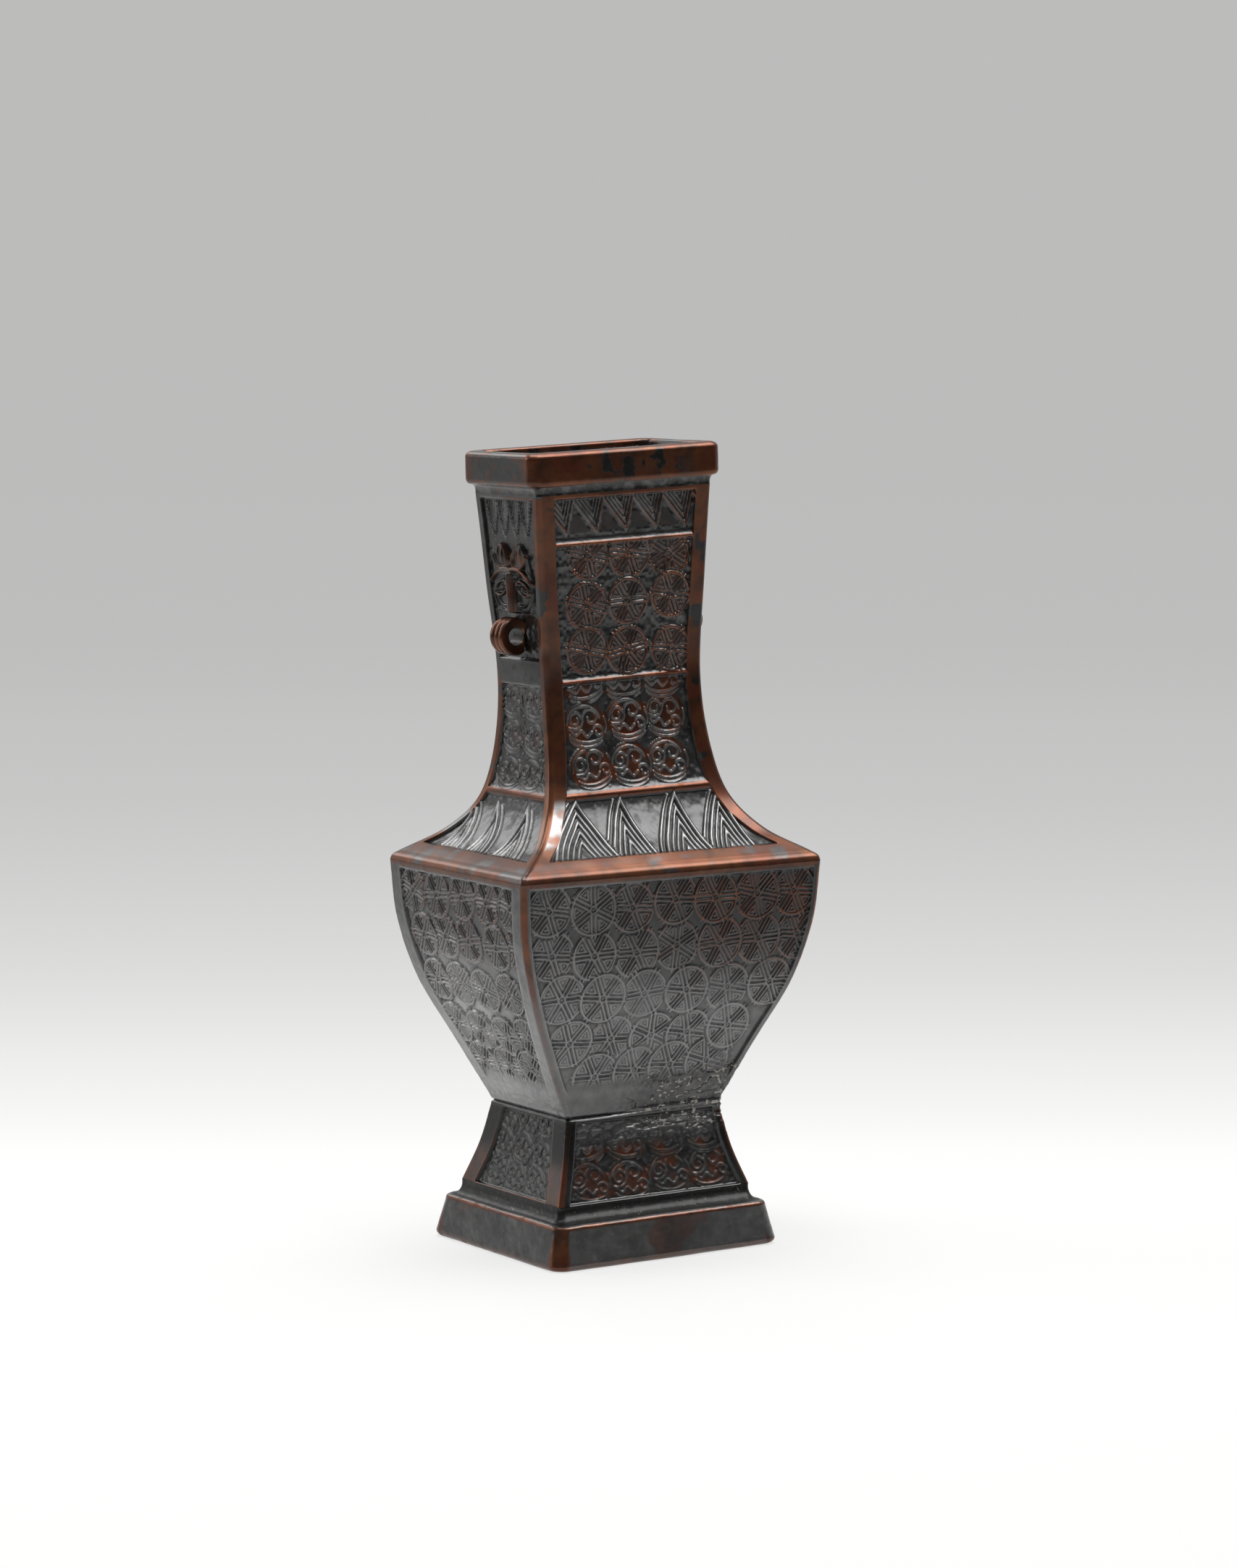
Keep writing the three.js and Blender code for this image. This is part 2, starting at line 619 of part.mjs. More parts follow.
const vase = new THREE.Group();
vase.add(namedMesh("vessel_body", vesselBody(), patina));
vase.add(namedMesh("foot", foot(), patina));
vase.add(namedMesh("floor_plate", floorPlate(), rawBronze));
for (const [name, side] of [["left", -1], ["right", 1]]) {
  vase.add(namedMesh(`mask_${name}`, mask(side), patina));
  vase.add(namedMesh(`lug_${name}`, lug(side), wornBronze));
}

export default vase;
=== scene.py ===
"""Cast bronze vase of rectangular section: its stamped relief, worn patina and a soft studio.

Pieces are ring-shaped castings stacked from the foot to the mouth, two masks and two lugs. Every
surface is worked out with numpy on a grid. Lengths in the working functions are millimetres in
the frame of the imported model, and the meshes are in metres.
"""

import math
from functools import lru_cache
from types import SimpleNamespace

import bpy
import numpy as np
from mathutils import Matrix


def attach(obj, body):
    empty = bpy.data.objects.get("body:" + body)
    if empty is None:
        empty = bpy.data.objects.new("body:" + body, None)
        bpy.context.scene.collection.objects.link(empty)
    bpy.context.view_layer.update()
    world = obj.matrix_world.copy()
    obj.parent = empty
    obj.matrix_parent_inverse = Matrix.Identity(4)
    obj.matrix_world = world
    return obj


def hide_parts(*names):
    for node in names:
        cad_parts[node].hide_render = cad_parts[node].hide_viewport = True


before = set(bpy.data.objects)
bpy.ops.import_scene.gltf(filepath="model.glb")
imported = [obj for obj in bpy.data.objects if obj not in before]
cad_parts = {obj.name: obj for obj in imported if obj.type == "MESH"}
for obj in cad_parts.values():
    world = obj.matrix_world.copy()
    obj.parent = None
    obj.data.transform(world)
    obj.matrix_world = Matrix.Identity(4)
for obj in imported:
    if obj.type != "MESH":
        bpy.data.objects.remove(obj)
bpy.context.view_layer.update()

bl_info = {
    "name": "Rectangular bronze vase",
    "version": (1, 0, 0),
    "blender": (4, 5, 0),
    "location": "View3D > Sidebar > Bronze vase",
    "description": "Builds the stamped relief and worn patina of a cast bronze vase, and its studio",
    "category": "Add Mesh",
}

MM = 0.001

# Heights of the main levels
PLINTH_HEIGHT = 9
FOOT_PANEL_BOTTOM = 13.4
FOOT_PANEL_TOP = 31.2
WAIST_HEIGHT = 32
SHOULDER_HEIGHT = 87
NECK_TOP = 170.6
RIM_BOTTOM = 172.6
RIM_TOP = 180

# Half width and half depth at each level, and at the heights between them
PLINTH_HALF = np.array([30.2, 26.2])
PLINTH_BATTER = 1.6
WAIST_HALF = np.array([20.6, 15.9])
NECK_TOP_HALF = np.array([23.1, 13.3])
RIM_OVERHANG = np.array([2.2, 1.0])
FOOT_STATIONS = np.array([[25.7, 20.7, 13.4], [22.8, 18.0, 22], [20.6, 15.9, 32]])
BELLY_STATIONS = np.array(
    [[20.6, 15.9, 32], [28.0, 19.9, 46], [35.1, 24.7, 60.5], [39.0, 27.0, 74], [40.1, 28.1, 87]]
)
SHOULDER_EDGE = [39.75, 27.75, 88.1]
NECK_STATIONS = np.array(
    [
        [38.0, 26.6, 89.3],
        [29.8, 20.3, 94.5],
        [24.4, 15.3, 101.5],
        [21.8, 12.5, 111.5],
        [20.8, 10.5, 128],
        [22.1, 11.7, 151],
        [23.1, 13.3, 170.6],
    ]
)

# Walls, rounding and the lean of the neck
BODY_WALL = 2.5
FOOT_WALL = 2.6
PLINTH_WALL = 5
MOUTH_LAND = 3
BODY_CORNER = 1.2
FOOT_CORNER = 0.9
RIM_CORNER = 2.2
PLINTH_CORNER = 3
RIM_ROUND = 1.3
RIM_UNDER_SHARE = 0.4
PLINTH_ROUND = 1.3
PLINTH_ARRIS_ROUND = 0.9
WAIST_CHAMFER = 0.45
PLATE_THICKNESS = 2
PLATE_LEDGE = 2.6
FOOT_TOP_THICKNESS = 2.4
FOOT_INNER_TOP = 28.5
FIT_CLEARANCE = 0.3
NECK_LEAN = 0.0407
LEAN_START = 90
LEAN_BLEND = 27

# Recessed panels, with the plain strips beside them on the wide and on the narrow faces
PANEL_DEPTH = 0.6
PANEL_EDGE = 0.35
NECK_STRIP = (4.1, 2.4)
BELLY_STRIP = (1.9, 4.6)
FOOT_STRIP = (2.4, 5.8)
BELLY_PANEL = (38, 85.6)
NECK_PANEL = (91, 169.8)
RIB_SHOULDER = 104
RIB_MIDDLE = 129
RIB_TOP = 159.5
SIDE_BAND = (128.4, 134)

# Lug and mask
LUG_HEIGHT = 139.4
LUG_RADIUS = 4.2
LUG_HOLE_RADIUS = 1.95
LUG_WIDTH = 5
LUG_STANDOFF = 2.3
LUG_RIDGES = 3
LUG_GROOVE = 0.45
MASK_BOTTOM = 144.1
MASK_HEIGHT = 16.2
MASK_HALF_WIDTH = 8.4
MASK_NARROWING = 0.16
MASK_NOTCH = 3
MASK_BASE = 0.4
MASK_EDGE_DROP = 0.3
MASK_RELIEF_SCALE = 0.9
MASK_CLEARANCE = 0.05

# Stamped wheel: distances of its lines from the middle line of a spoke
SPOKE_HALF_GAP = 0.52
TRIANGLE_LINES = (1.34, 2.02)
TRIANGLE_RIM_GAP = 0.65
HUB_RADIUS = 0.85
WHEEL_FLANGE = 0.55

# Rows of stamped wheels: height, first place along the face, spacing and number of wheels
NECK_WHEELS = [(156.2, -9.7, 11.1, 3), (146.1, -9.7, 11.1, 3), (135.2, -10.6, 11.5, 3)]
NECK_WHEEL_RADIUS = 5.0
WIDE_BELLY_WHEELS = [
    (80.6, -32.4, 10.9, 7),
    (70.3, -31.0, 10.9, 7),
    (60.0, -27.6, 11.2, 6),
    (49.7, -22.6, 10.4, 5),
    (41.6, -15.0, 10.2, 4),
]
NARROW_BELLY_WHEELS = [
    (81.4, -18.4, 10.2, 5),
    (71.6, -16.0, 9.9, 5),
    (60.8, -15.2, 9.9, 4),
    (50.2, -14.6, 9.9, 4),
    (42, -9.7, 9.9, 3),
]
BELLY_WHEEL_RADII = (5.6, 5.0)

# Scroll roundels on the wide and on the narrow faces: heights of the rows, places of the columns
# and scale
NECK_ROUNDELS = [
    ((110.0, 119.4, 128.8), (-11.0, -0.4, 10.0), 1.03),
    ((108.3, 116.3, 124.3), (-4.6, 4.6), 0.84),
]
FOOT_ROUNDELS = [
    ((17.8, 26.4), (-16.7, -6.0, 4.9, 15.8), 1.04),
    ((16.9, 23.2, 29.5), (-8.3, 0.1, 8.4), 0.74),
]
ROUNDEL_REACH = (5.7, 5.2)

# Blades of the shoulder on the wide and on the narrow faces: place of the apex, sideways drift
# and widening for each millimetre down
SHOULDER_BLADES = [
    [(21.0, -0.2, 0.5), (9.2, -0.2, 0.5), (-5.2, -0.2, 0.47), (-16.9, -0.3, 0.72)],
    [(-14.6, 0.35, 0.32), (6.2, 0.5, 0.4), (-5.7, 0.5, 0.3)],
]
SHOULDER_APEXES = (102.8, 101)

# Grid of each zone: its rows, and its columns on the plain strip, on the sloped edge and on the
# panel of a wide and of a narrow face
MOUTH_GRID = (100, [(8, 2, 164), (8, 2, 84)])
NECK_BLADES_GRID = (64, [(12, 3, 160), (8, 3, 130)])
NECK_WHEELS_GRID = (136, [(12, 3, 160), (8, 3, 82)])
NECK_ROUNDELS_GRID = (114, [(12, 3, 160), (8, 3, 82)])
SHOULDER_GRID = (102, [(12, 3, 226), (10, 3, 150)])
BELLY_GRID = (238, [(6, 2, 300), (12, 2, 184)])
FOOT_GRID = (92, [(9, 2, 196), (18, 2, 128)])
PLINTH_GRID = (66, [(12, 2, 150), (12, 2, 128)])
MOUTH_STRIP = (2.6, 2.6)
PLINTH_STRIP = (4.2, 4.2)
CORNER_COLUMNS = 10
INNER_ROWS = 7
MASK_ROWS = 127
MASK_COLUMNS = 131
LUG_ROWS = 160
LUG_OUTER_COLUMNS = 61
LUG_HOLE_COLUMNS = 21

# Map for baking: the margin and size of the tile that each side of a ring has
MAP_MARGIN = 0.01
MAP_TILE = 0.48
MAP_PITCH = 0.5
INNER_MAP_SCALE = 0.4

# Finish: the share of copper rubbed bare, how grey the patina is (in places also painted sheen and
# shade), and the share of pale crust
GREY_LIMIT = 1.65
INNER_FINISH = [0.3, 0.3, 0.4]

# Camera: its direction round the vase, from straight in front towards its left, its distance and
# its shift, and the level direction away from it
CAMERA_AZIMUTH = math.radians(33.74)
CAMERA_ELEVATION = math.radians(6.98)
CAMERA_DISTANCE = 5.708 * RIM_TOP
CAMERA_SHIFT = (0.00859, 0.03963)
AWAY = (math.sin(CAMERA_AZIMUTH), math.cos(CAMERA_AZIMUTH), 0.0)

# Grey of the floor at distances behind the vase, in metres
FLOOR_GREYS = [
    (0.05, 1.0),
    (0.11, 0.973),
    (0.24, 0.84),
    (0.41, 0.713),
    (0.63, 0.638),
    (0.91, 0.578),
    (1.7, 0.515),
    (4.0, 0.503),
]
FLOOR_RINGS = 40
FLOOR_SPOKES = 96

# Soft boxes that the bronze reflects: direction, angles at which they are full and have faded
# out, and share of the brightness
SOFT_BOXES = [((0.47, -0.38, 0.8), 11, 22, 1.2), ((-0.16, 0.83, 0.54), 6, 18, 0.5)]


def bump(distance):
    """Smooth bump: (1 - d^2)^2 inside distance 1, and 0 beyond it."""
    inside = np.clip(1 - np.square(distance), 0, None)
    return inside * inside


def ridge(distance):
    """Stamped line: the bump with steeper sides, to the power 0.7."""
    return bump(distance) ** 0.7


def smoothstep(value, low, high):
    """Rises from 0 at low to 1 at high as 3t^2 - 2t^3."""
    share = np.clip((value - low) / (high - low), 0, 1)
    return share * share * (3 - 2 * share)


def mix(first, second, share):
    """The straight blend from first to second."""
    return first + (second - first) * share


def unit(vectors):
    """The vectors at length 1."""
    return vectors / np.maximum(np.linalg.norm(vectors, axis=-1, keepdims=True), 1e-12)


def within(value, low, high):
    """How far a value lies inside two limits. It is below 0 outside them."""
    return np.minimum(value - low, high - value)


def grain(point, size, seed):
    """Smooth random value from 0 to 1: random numbers on a cubic lattice of cells of the given
    size, blended inside each cell by smoothstep weights along the three axes."""
    table = np.random.default_rng(seed).random(4096)
    place = point / size + 1000
    cell = np.floor(place).astype(np.int64)
    share = place - cell
    weight = share * share * (3 - 2 * share)
    total = 0
    for corner in range(8):
        step = np.array([corner & 1, corner >> 1 & 1, corner >> 2 & 1])
        key = (cell + step) @ np.array([1, 57, 3251])
        part = np.where(step, weight, 1 - weight).prod(axis=-1)
        total = total + part * table[key % 4096]
    return total


def mottle(point, size, seed):
    """Three layers of grain, each of half the size and half the strength of the one before."""
    layers = [grain(point, size / 2**octave, seed + octave) / 2**octave for octave in range(3)]
    return sum(layers) / 1.75


def spots(face, size, seed, low, high):
    """Ragged spots on a face: mottle cut off smoothly, 0 below the low level and 1 above the
    high one."""
    return smoothstep(mottle(face.point, size, seed), low, high)


def relief_size(name):
    """One of the settings of the relief, in millimetres."""
    return getattr(bpy.context.scene.vase_relief, name) / MM


def curve_points(stations, parameters):
    """Centripetal Catmull-Rom curve. Between two stations it is a cubic whose end slopes come
    from the neighbours, weighed by the square roots of the distances between stations."""
    first_ghost = 2 * stations[0] - stations[1]
    last_ghost = 2 * stations[-1] - stations[-2]
    padded = np.vstack([first_ghost, stations, last_ghost])
    place = np.asarray(parameters) * (len(stations) - 1)
    start = np.minimum(place.astype(int), len(stations) - 2)
    share = (place - start)[:, None]
    before, low, high, after = (padded[start + step] for step in range(4))
    gap_before, gap, gap_after = (
        (np.square(b - a).sum(axis=1) ** 0.25)[:, None]
        for a, b in ((before, low), (low, high), (high, after))
    )
    rise_low = (low - before) / gap_before - (high - before) / (gap_before + gap) + (high - low) / gap
    rise_high = (high - low) / gap - (after - low) / (gap + gap_after) + (after - high) / gap_after
    rise_low = rise_low * gap
    rise_high = rise_high * gap
    square = 3 * (high - low) - 2 * rise_low - rise_high
    cube = 2 * (low - high) + rise_low + rise_high
    return low + rise_low * share + square * share**2 + cube * share**3


def lean(point):
    """The neck leans towards -X: x falls by 0.0407 for each millimetre above the start, and the
    rings tilt with it, blended in over the first 27 mm."""
    rise = np.clip(point[..., 2] - LEAN_START, 0, None)
    tilt = smoothstep(point[..., 2], LEAN_START, LEAN_START + LEAN_BLEND)
    leant = point.copy()
    leant[..., 0] -= NECK_LEAN * rise
    leant[..., 2] += NECK_LEAN * tilt * point[..., 0]
    return leant


def quarter(start, reach, climb, convex, corner_from, corner_to, steps=14):
    """Quarter round of the outline: sine one way and one minus cosine the other."""
    turn = np.linspace(0, math.pi / 2, steps)[:, None]
    spread = np.sin(turn) if convex else 1 - np.cos(turn)
    rise = 1 - np.cos(turn) if convex else np.sin(turn)
    half = np.asarray(start[:2]) + np.asarray(reach) * spread
    corner = mix(corner_from, corner_to, turn / (math.pi / 2))
    return np.hstack([half, start[2] + climb * rise, corner])


def with_corner(points, corner):
    """Profile points with one corner radius."""
    return np.hstack([points, np.full((len(points), 1), corner)])


def inner_curve(stations, wall, start, end, steps=40):
    """The inner wall: each curve point moved in by the wall along the mean of both normals."""
    parameters = np.linspace(start, end, steps)
    point = curve_points(stations, parameters)
    slope = curve_points(stations, parameters + 1e-4) - curve_points(stations, parameters - 1e-4)
    spread = slope[:, :2].mean(axis=1)
    length = np.hypot(spread, slope[:, 2])
    inward = wall * slope[:, 2] / length
    return point - np.stack([inward, inward, -wall * spread / length], axis=1)


def body_profile():
    """Outline of the vessel from the heel at the waist, up the belly and neck, over the rim and a
    little way down inside: half width, half depth, height and corner radius."""
    heel = np.array([[*(WAIST_HALF - WAIST_CHAMFER), WAIST_HEIGHT]])
    belly = curve_points(BELLY_STATIONS, np.linspace(0, 1, 600))
    belly = belly[belly[:, 2] >= WAIST_HEIGHT + WAIST_CHAMFER]
    edge_stations = np.array([BELLY_STATIONS[-1], SHOULDER_EDGE, NECK_STATIONS[0]])
    edge = curve_points(edge_stations, np.linspace(0, 1, 40))[1:-1]
    neck = curve_points(NECK_STATIONS, np.linspace(0, 1, 900))
    wall = with_corner(np.vstack([heel, belly, edge, neck]), BODY_CORNER)
    rim_half = NECK_TOP_HALF + RIM_OVERHANG
    mouth_half = rim_half - MOUTH_LAND
    cove_reach = RIM_OVERHANG * (1 - RIM_UNDER_SHARE)
    low_round = RIM_OVERHANG * RIM_UNDER_SHARE
    cove_start = [*NECK_TOP_HALF, NECK_TOP]
    cove = quarter(cove_start, cove_reach, RIM_BOTTOM - NECK_TOP, False, BODY_CORNER, RIM_CORNER)
    under_start = [*(rim_half - low_round), RIM_BOTTOM]
    under = quarter(under_start, low_round, RIM_ROUND, True, RIM_CORNER, RIM_CORNER)
    over_start = [*rim_half, RIM_TOP - RIM_ROUND]
    over = quarter(over_start, [-RIM_ROUND] * 2, RIM_ROUND, False, RIM_CORNER, RIM_CORNER)
    lip_start = [*(mouth_half + RIM_ROUND / 2), RIM_TOP]
    lip_reach = [-RIM_ROUND / 2] * 2
    lip = quarter(lip_start, lip_reach, -RIM_ROUND / 2, True, RIM_CORNER, RIM_CORNER, 6)
    inside = with_corner(inner_wall([176, 173.5, NECK_TOP]), RIM_CORNER)
    return np.vstack([wall, cove[1:], under[1:], over, lip, inside])


def foot_profile():
    """Outline of the foot from the sole, up the plinth and its cove to the waist."""
    top_half = PLINTH_HALF - PLINTH_BATTER
    sole_start = [*(PLINTH_HALF - PLINTH_ROUND), 0]
    sole = quarter(sole_start, [PLINTH_ROUND] * 2, PLINTH_ROUND, True, PLINTH_CORNER, PLINTH_CORNER)
    arris_start = [*top_half, PLINTH_HEIGHT]
    reach = [-PLINTH_ARRIS_ROUND] * 2
    arris = quarter(arris_start, reach, PLINTH_ARRIS_ROUND, False, PLINTH_CORNER, PLINTH_CORNER, 6)
    cove_start = [*(top_half - PLINTH_ARRIS_ROUND), PLINTH_HEIGHT + PLINTH_ARRIS_ROUND]
    reach = FOOT_STATIONS[0, :2] - np.array(cove_start[:2])
    climb = FOOT_PANEL_BOTTOM - cove_start[2]
    cove = quarter(cove_start, reach, climb, True, PLINTH_CORNER, FOOT_CORNER)
    flare = curve_points(FOOT_STATIONS, np.linspace(0, 1, 300))
    flare = flare[flare[:, 2] < WAIST_HEIGHT - WAIST_CHAMFER]
    top = np.array([[*(WAIST_HALF - WAIST_CHAMFER), WAIST_HEIGHT]])
    waist = np.array([[*WAIST_HALF, WAIST_HEIGHT - WAIST_CHAMFER]])
    wall = with_corner(np.vstack([flare[1:], waist, top]), FOOT_CORNER)
    return np.vstack([sole, arris, cove[1:], wall])


def halves_at(line, heights):
    """Half width, half depth and height of a line of points at the given heights."""
    halves = [np.interp(heights, line[:, 2], line[:, axis]) for axis in range(2)]
    return np.stack([*halves, heights], axis=1)


def inner_wall(heights):
    """Half width, half depth and height of the vessel's inner wall at the given heights."""
    neck = inner_curve(NECK_STATIONS, BODY_WALL, 0.11, 0.97)
    belly = inner_curve(BELLY_STATIONS, BODY_WALL, 0.12, 0.96)
    mouth = np.array([[*(NECK_TOP_HALF + RIM_OVERHANG - MOUTH_LAND), RIM_TOP - RIM_ROUND / 2]])
    floor = np.array([[*(WAIST_HALF - BODY_WALL), WAIST_HEIGHT + PLATE_THICKNESS + BODY_WALL]])
    return halves_at(np.vstack([floor, belly, neck, mouth]), heights)


def inner_foot(heights):
    """Half width, half depth and height of the foot's inner wall at the given heights."""
    flare = inner_curve(FOOT_STATIONS, FOOT_WALL, 0.1, 0.85)
    plinth = np.array([[*(PLINTH_HALF - PLINTH_WALL), PLINTH_HEIGHT - FOOT_WALL / 2]])
    return halves_at(np.vstack([plinth, flare]), heights)


def measured(profile):
    """A profile with its length so far: along the mean outline, and along each kind of face."""
    step = np.diff(profile, axis=0)
    mean = np.hypot(step[:, :2].mean(axis=1), step[:, 2])
    wide = np.hypot(step[:, 1], step[:, 2])
    narrow = np.hypot(step[:, 0], step[:, 2])
    along = [np.concatenate([[0], np.cumsum(length)]) for length in (mean, wide, narrow)]
    return SimpleNamespace(points=profile, length=along[0], climb=np.stack(along[1:], axis=1))


@lru_cache
def face_profile(name):
    """The measured outline of the vessel or of the foot, worked out once."""
    return measured(body_profile() if name == "body" else foot_profile())


def length_at(profile, height):
    """Length of the outline up to a height on its way up."""
    top = int(np.argmax(profile.points[:, 2]))
    return np.interp(height, profile.points[: top + 1, 2], profile.length[: top + 1])


def climb_at(profile, height, kind):
    """Length along one kind of face up to a height."""
    return np.interp(length_at(profile, height), profile.length, profile.climb[:, kind])


def rows_between(profile, low, high, count):
    """Rows at even steps of length, with one more row beyond each end for the normals."""
    step = (high - low) / (count - 1)
    at = np.clip(low + step * np.arange(-1, count + 1), 0, profile.length[-1])
    columns = [np.interp(at, profile.length, profile.points[:, axis]) for axis in range(4)]
    climb = np.stack([np.interp(at, profile.length, profile.climb[:, k]) for k in range(2)], axis=1)
    near = np.clip([at - 0.12, at + 0.12], 0, profile.length[-1])
    slopes = []
    for axis in (1, 0):
        across = np.interp(near[1], profile.length, profile.points[:, axis])
        across = across - np.interp(near[0], profile.length, profile.points[:, axis])
        rise = np.interp(near[1], profile.length, profile.points[:, 2])
        rise = rise - np.interp(near[0], profile.length, profile.points[:, 2])
        size = np.hypot(across, rise)
        slopes.append(np.stack([rise / size, -across / size], axis=1))
    return SimpleNamespace(
        half=np.stack(columns[:2], axis=1),
        height=columns[2],
        corner=columns[3],
        climb=climb,
        normals=slopes,
    )


def across_face(half, corner, strip, counts):
    """Places across one face from corner to corner: the plain strip, the sloped panel edge and
    the panel, then the edge and the strip again. Each stretch is divided evenly."""
    outer = half - np.maximum(strip, corner + PANEL_EDGE)
    inner = outer - PANEL_EDGE
    straight = half - corner
    strip_count, edge_count, panel_count = counts
    stretches = [
        (-straight, -outer, strip_count),
        (-outer, -inner, edge_count),
        (-inner, inner, panel_count),
        (inner, outer, edge_count),
        (outer, straight, strip_count),
    ]
    places = [np.linspace(a, b, n, endpoint=False, axis=1) for a, b, n in stretches]
    return np.concatenate(places, axis=1), inner


def ring_faces(rows, strips, counts):
    """The four faces of a ring, each with the corner arc that follows it. On a face the wall's
    normal is that of the profile, and round an arc it turns from one face's to the next one's."""
    faces = []
    bend = np.linspace(0, math.pi / 2, CORNER_COLUMNS, endpoint=False)[None, :]
    for turn in range(4):
        kind = turn % 2
        half = rows.half[:, kind]
        distance = rows.half[:, 1 - kind][:, None]
        corner = rows.corner[:, None]
        flat, inner = across_face(half, rows.corner, strips[kind], counts[kind])
        straight = half[:, None] - corner
        along = np.concatenate([flat, straight + corner * np.sin(bend)], axis=1)
        outward = np.concatenate(
            [distance + 0 * flat, distance - corner + corner * np.cos(bend)], axis=1
        )
        share = np.concatenate([0 * flat, 0 * straight + bend], axis=1)
        this_out, this_rise = (rows.normals[kind][:, axis][:, None] for axis in range(2))
        next_out, next_rise = (rows.normals[1 - kind][:, axis][:, None] for axis in range(2))
        normal = [
            np.sin(share) * next_out,
            np.cos(share) * this_out,
            np.cos(share) ** 2 * this_rise + np.sin(share) ** 2 * next_rise,
        ]
        height = rows.height[:, None] + 0 * along
        edge = (inner[:, None] + PANEL_EDGE - np.abs(along)) / PANEL_EDGE
        faces.append(
            SimpleNamespace(
                turn=turn,
                kind=kind,
                along=along,
                outward=outward,
                height=height,
                climb=rows.climb[:, kind][:, None] + 0 * along,
                normal=normal,
                panel=np.clip(edge, 0, 1),
                edge_distance=half[:, None] - np.abs(along),
                round=np.sin(2 * share),
                point=turned_points(along, outward, height, turn),
            )
        )
    return faces


def turned_points(along, outward, height, turn):
    """Points of a face in the frame: along and outward taken round by its quarter turns."""
    angle = turn * math.pi / 2
    x = along * math.cos(angle) + outward * math.sin(angle)
    y = along * math.sin(angle) - outward * math.cos(angle)
    return np.stack([x, y, height], axis=-1)


def raised_points(face, height):
    """Points of a face moved out along the wall's normal by the relief's height."""
    places = (face.along, face.outward, face.height)
    moved = [place + part * height for place, part in zip(places, face.normal)]
    return turned_points(*moved, face.turn)


def grid_normals(points, wrapped):
    """Unit normals of a grid: the cross product of the differences between neighbours across and
    up. The columns of a ring join end to end."""
    if wrapped:
        across = np.roll(points, -1, axis=1) - np.roll(points, 1, axis=1)
    else:
        across = np.gradient(points, axis=1)
    up = np.empty_like(points)
    up[1:-1] = points[2:] - points[:-2]
    up[0] = points[1] - points[0]
    up[-1] = points[-1] - points[-2]
    return unit(np.cross(across, up))


def uneven(point, depth):
    """Slow waves of a hand-finished casting, over about 15 mm and 5 mm."""
    slow = grain(point, 15, 11) + 0.35 * grain(point, 5, 12)
    return depth * (2 * slow / 1.35 - 1)


def softened(values, reach):
    """Mean of a grid over a square that reaches so many cells each way, by running sums."""
    for axis in range(2):
        sides = [(reach + 1, reach) if axis == side else (0, 0) for side in range(2)]
        total = np.cumsum(np.pad(values, sides, mode="edge"), axis=axis)
        size = values.shape[axis]
        start = [slice(None)] * 2
        end = [slice(None)] * 2
        start[axis] = slice(0, size)
        end[axis] = slice(2 * reach + 1, 2 * reach + 1 + size)
        values = (total[tuple(end)] - total[tuple(start)]) / (2 * reach + 1)
    return values


def worn_and_cavity_shaded(shape, reach=4):
    """Finish with the wear of use and with painted shade: what stands above its surroundings is
    rubbed to copper and painted lighter, and what lies below them is painted darker, as shade in the
    hollows together with dark wax and dirt."""
    rise, copper, grey, crust = shape
    local = rise - softened(rise, reach)
    high = np.clip(local / 0.2, 0, 1)
    low = np.clip(-local / 0.16, 0, 1)
    copper = copper * (1 + 0.4 * high) * (1 - 0.6 * low)
    grey = (grey + 0.3 * high) * (1 - 0.5 * low)
    return rise, copper, grey, crust


def mark_sharp(mesh, normals):
    """Marks as sharp every edge of a closed mesh of quads whose two faces disagree on the
    normals at its ends."""
    edge_of = np.empty(len(mesh.loops), dtype=np.int32)
    mesh.loops.foreach_get("edge_index", edge_of)
    at_start = normals.reshape(-1, 4, 3)
    at_end = np.roll(at_start, -1, axis=1).reshape(-1, 3)
    at_start = at_start.reshape(-1, 3)
    one, other = np.argsort(edge_of, kind="stable").reshape(-1, 2).T
    gap = np.abs(at_start[one] - at_end[other]).max(axis=1)
    gap = np.maximum(gap, np.abs(at_end[one] - at_start[other]).max(axis=1))
    sharp = np.zeros(len(mesh.edges), dtype=bool)
    sharp[edge_of[one]] = gap > 0.02
    mesh.attributes.new("sharp_edge", "BOOLEAN", "EDGE").data.foreach_set("value", sharp)


def mesh_object(name, points, quads, normals, finish, uv, materials, material_index):
    """A mesh from arrays: points in metres, four corners a face, a normal and a map place for
    each corner, and the finish of each vertex as red, green and blue of one attribute."""
    mesh = bpy.data.meshes.new(name)
    mesh.vertices.add(len(points))
    mesh.vertices.foreach_set("co", points.astype(np.float32).ravel())
    mesh.loops.add(quads.size)
    mesh.loops.foreach_set("vertex_index", quads.astype(np.int32).ravel())
    mesh.polygons.add(len(quads))
    mesh.polygons.foreach_set("loop_start", np.arange(0, quads.size, 4, dtype=np.int32))
    mesh.update(calc_edges=True)
    mesh.polygons.foreach_set("material_index", material_index.astype(np.int32))
    mesh.polygons.foreach_set("use_smooth", np.ones(len(quads), dtype=bool))
    mark_sharp(mesh, normals)
    held = mesh.attributes.new("custom_normal", "FLOAT_VECTOR", "CORNER")
    held.data.foreach_set("vector", normals.astype(np.float32).ravel())
    paint = mesh.attributes.new("finish", "FLOAT_COLOR", "POINT")
    paint.data.foreach_set("color", finish.astype(np.float32).ravel())
    layer = mesh.uv_layers.new(name="OFBake")
    layer.uv.foreach_set("vector", uv.astype(np.float32).ravel())
    for material in materials:
        mesh.materials.append(material)
    mesh.update()
    piece = bpy.data.objects.new(name, mesh)
    bpy.context.scene.collection.objects.link(piece)
    return piece


def fit(piece, nodes):
    """Rides the piece on the vase and lets it stand for its CAD solids."""
    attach(piece, "root")
    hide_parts(*nodes)


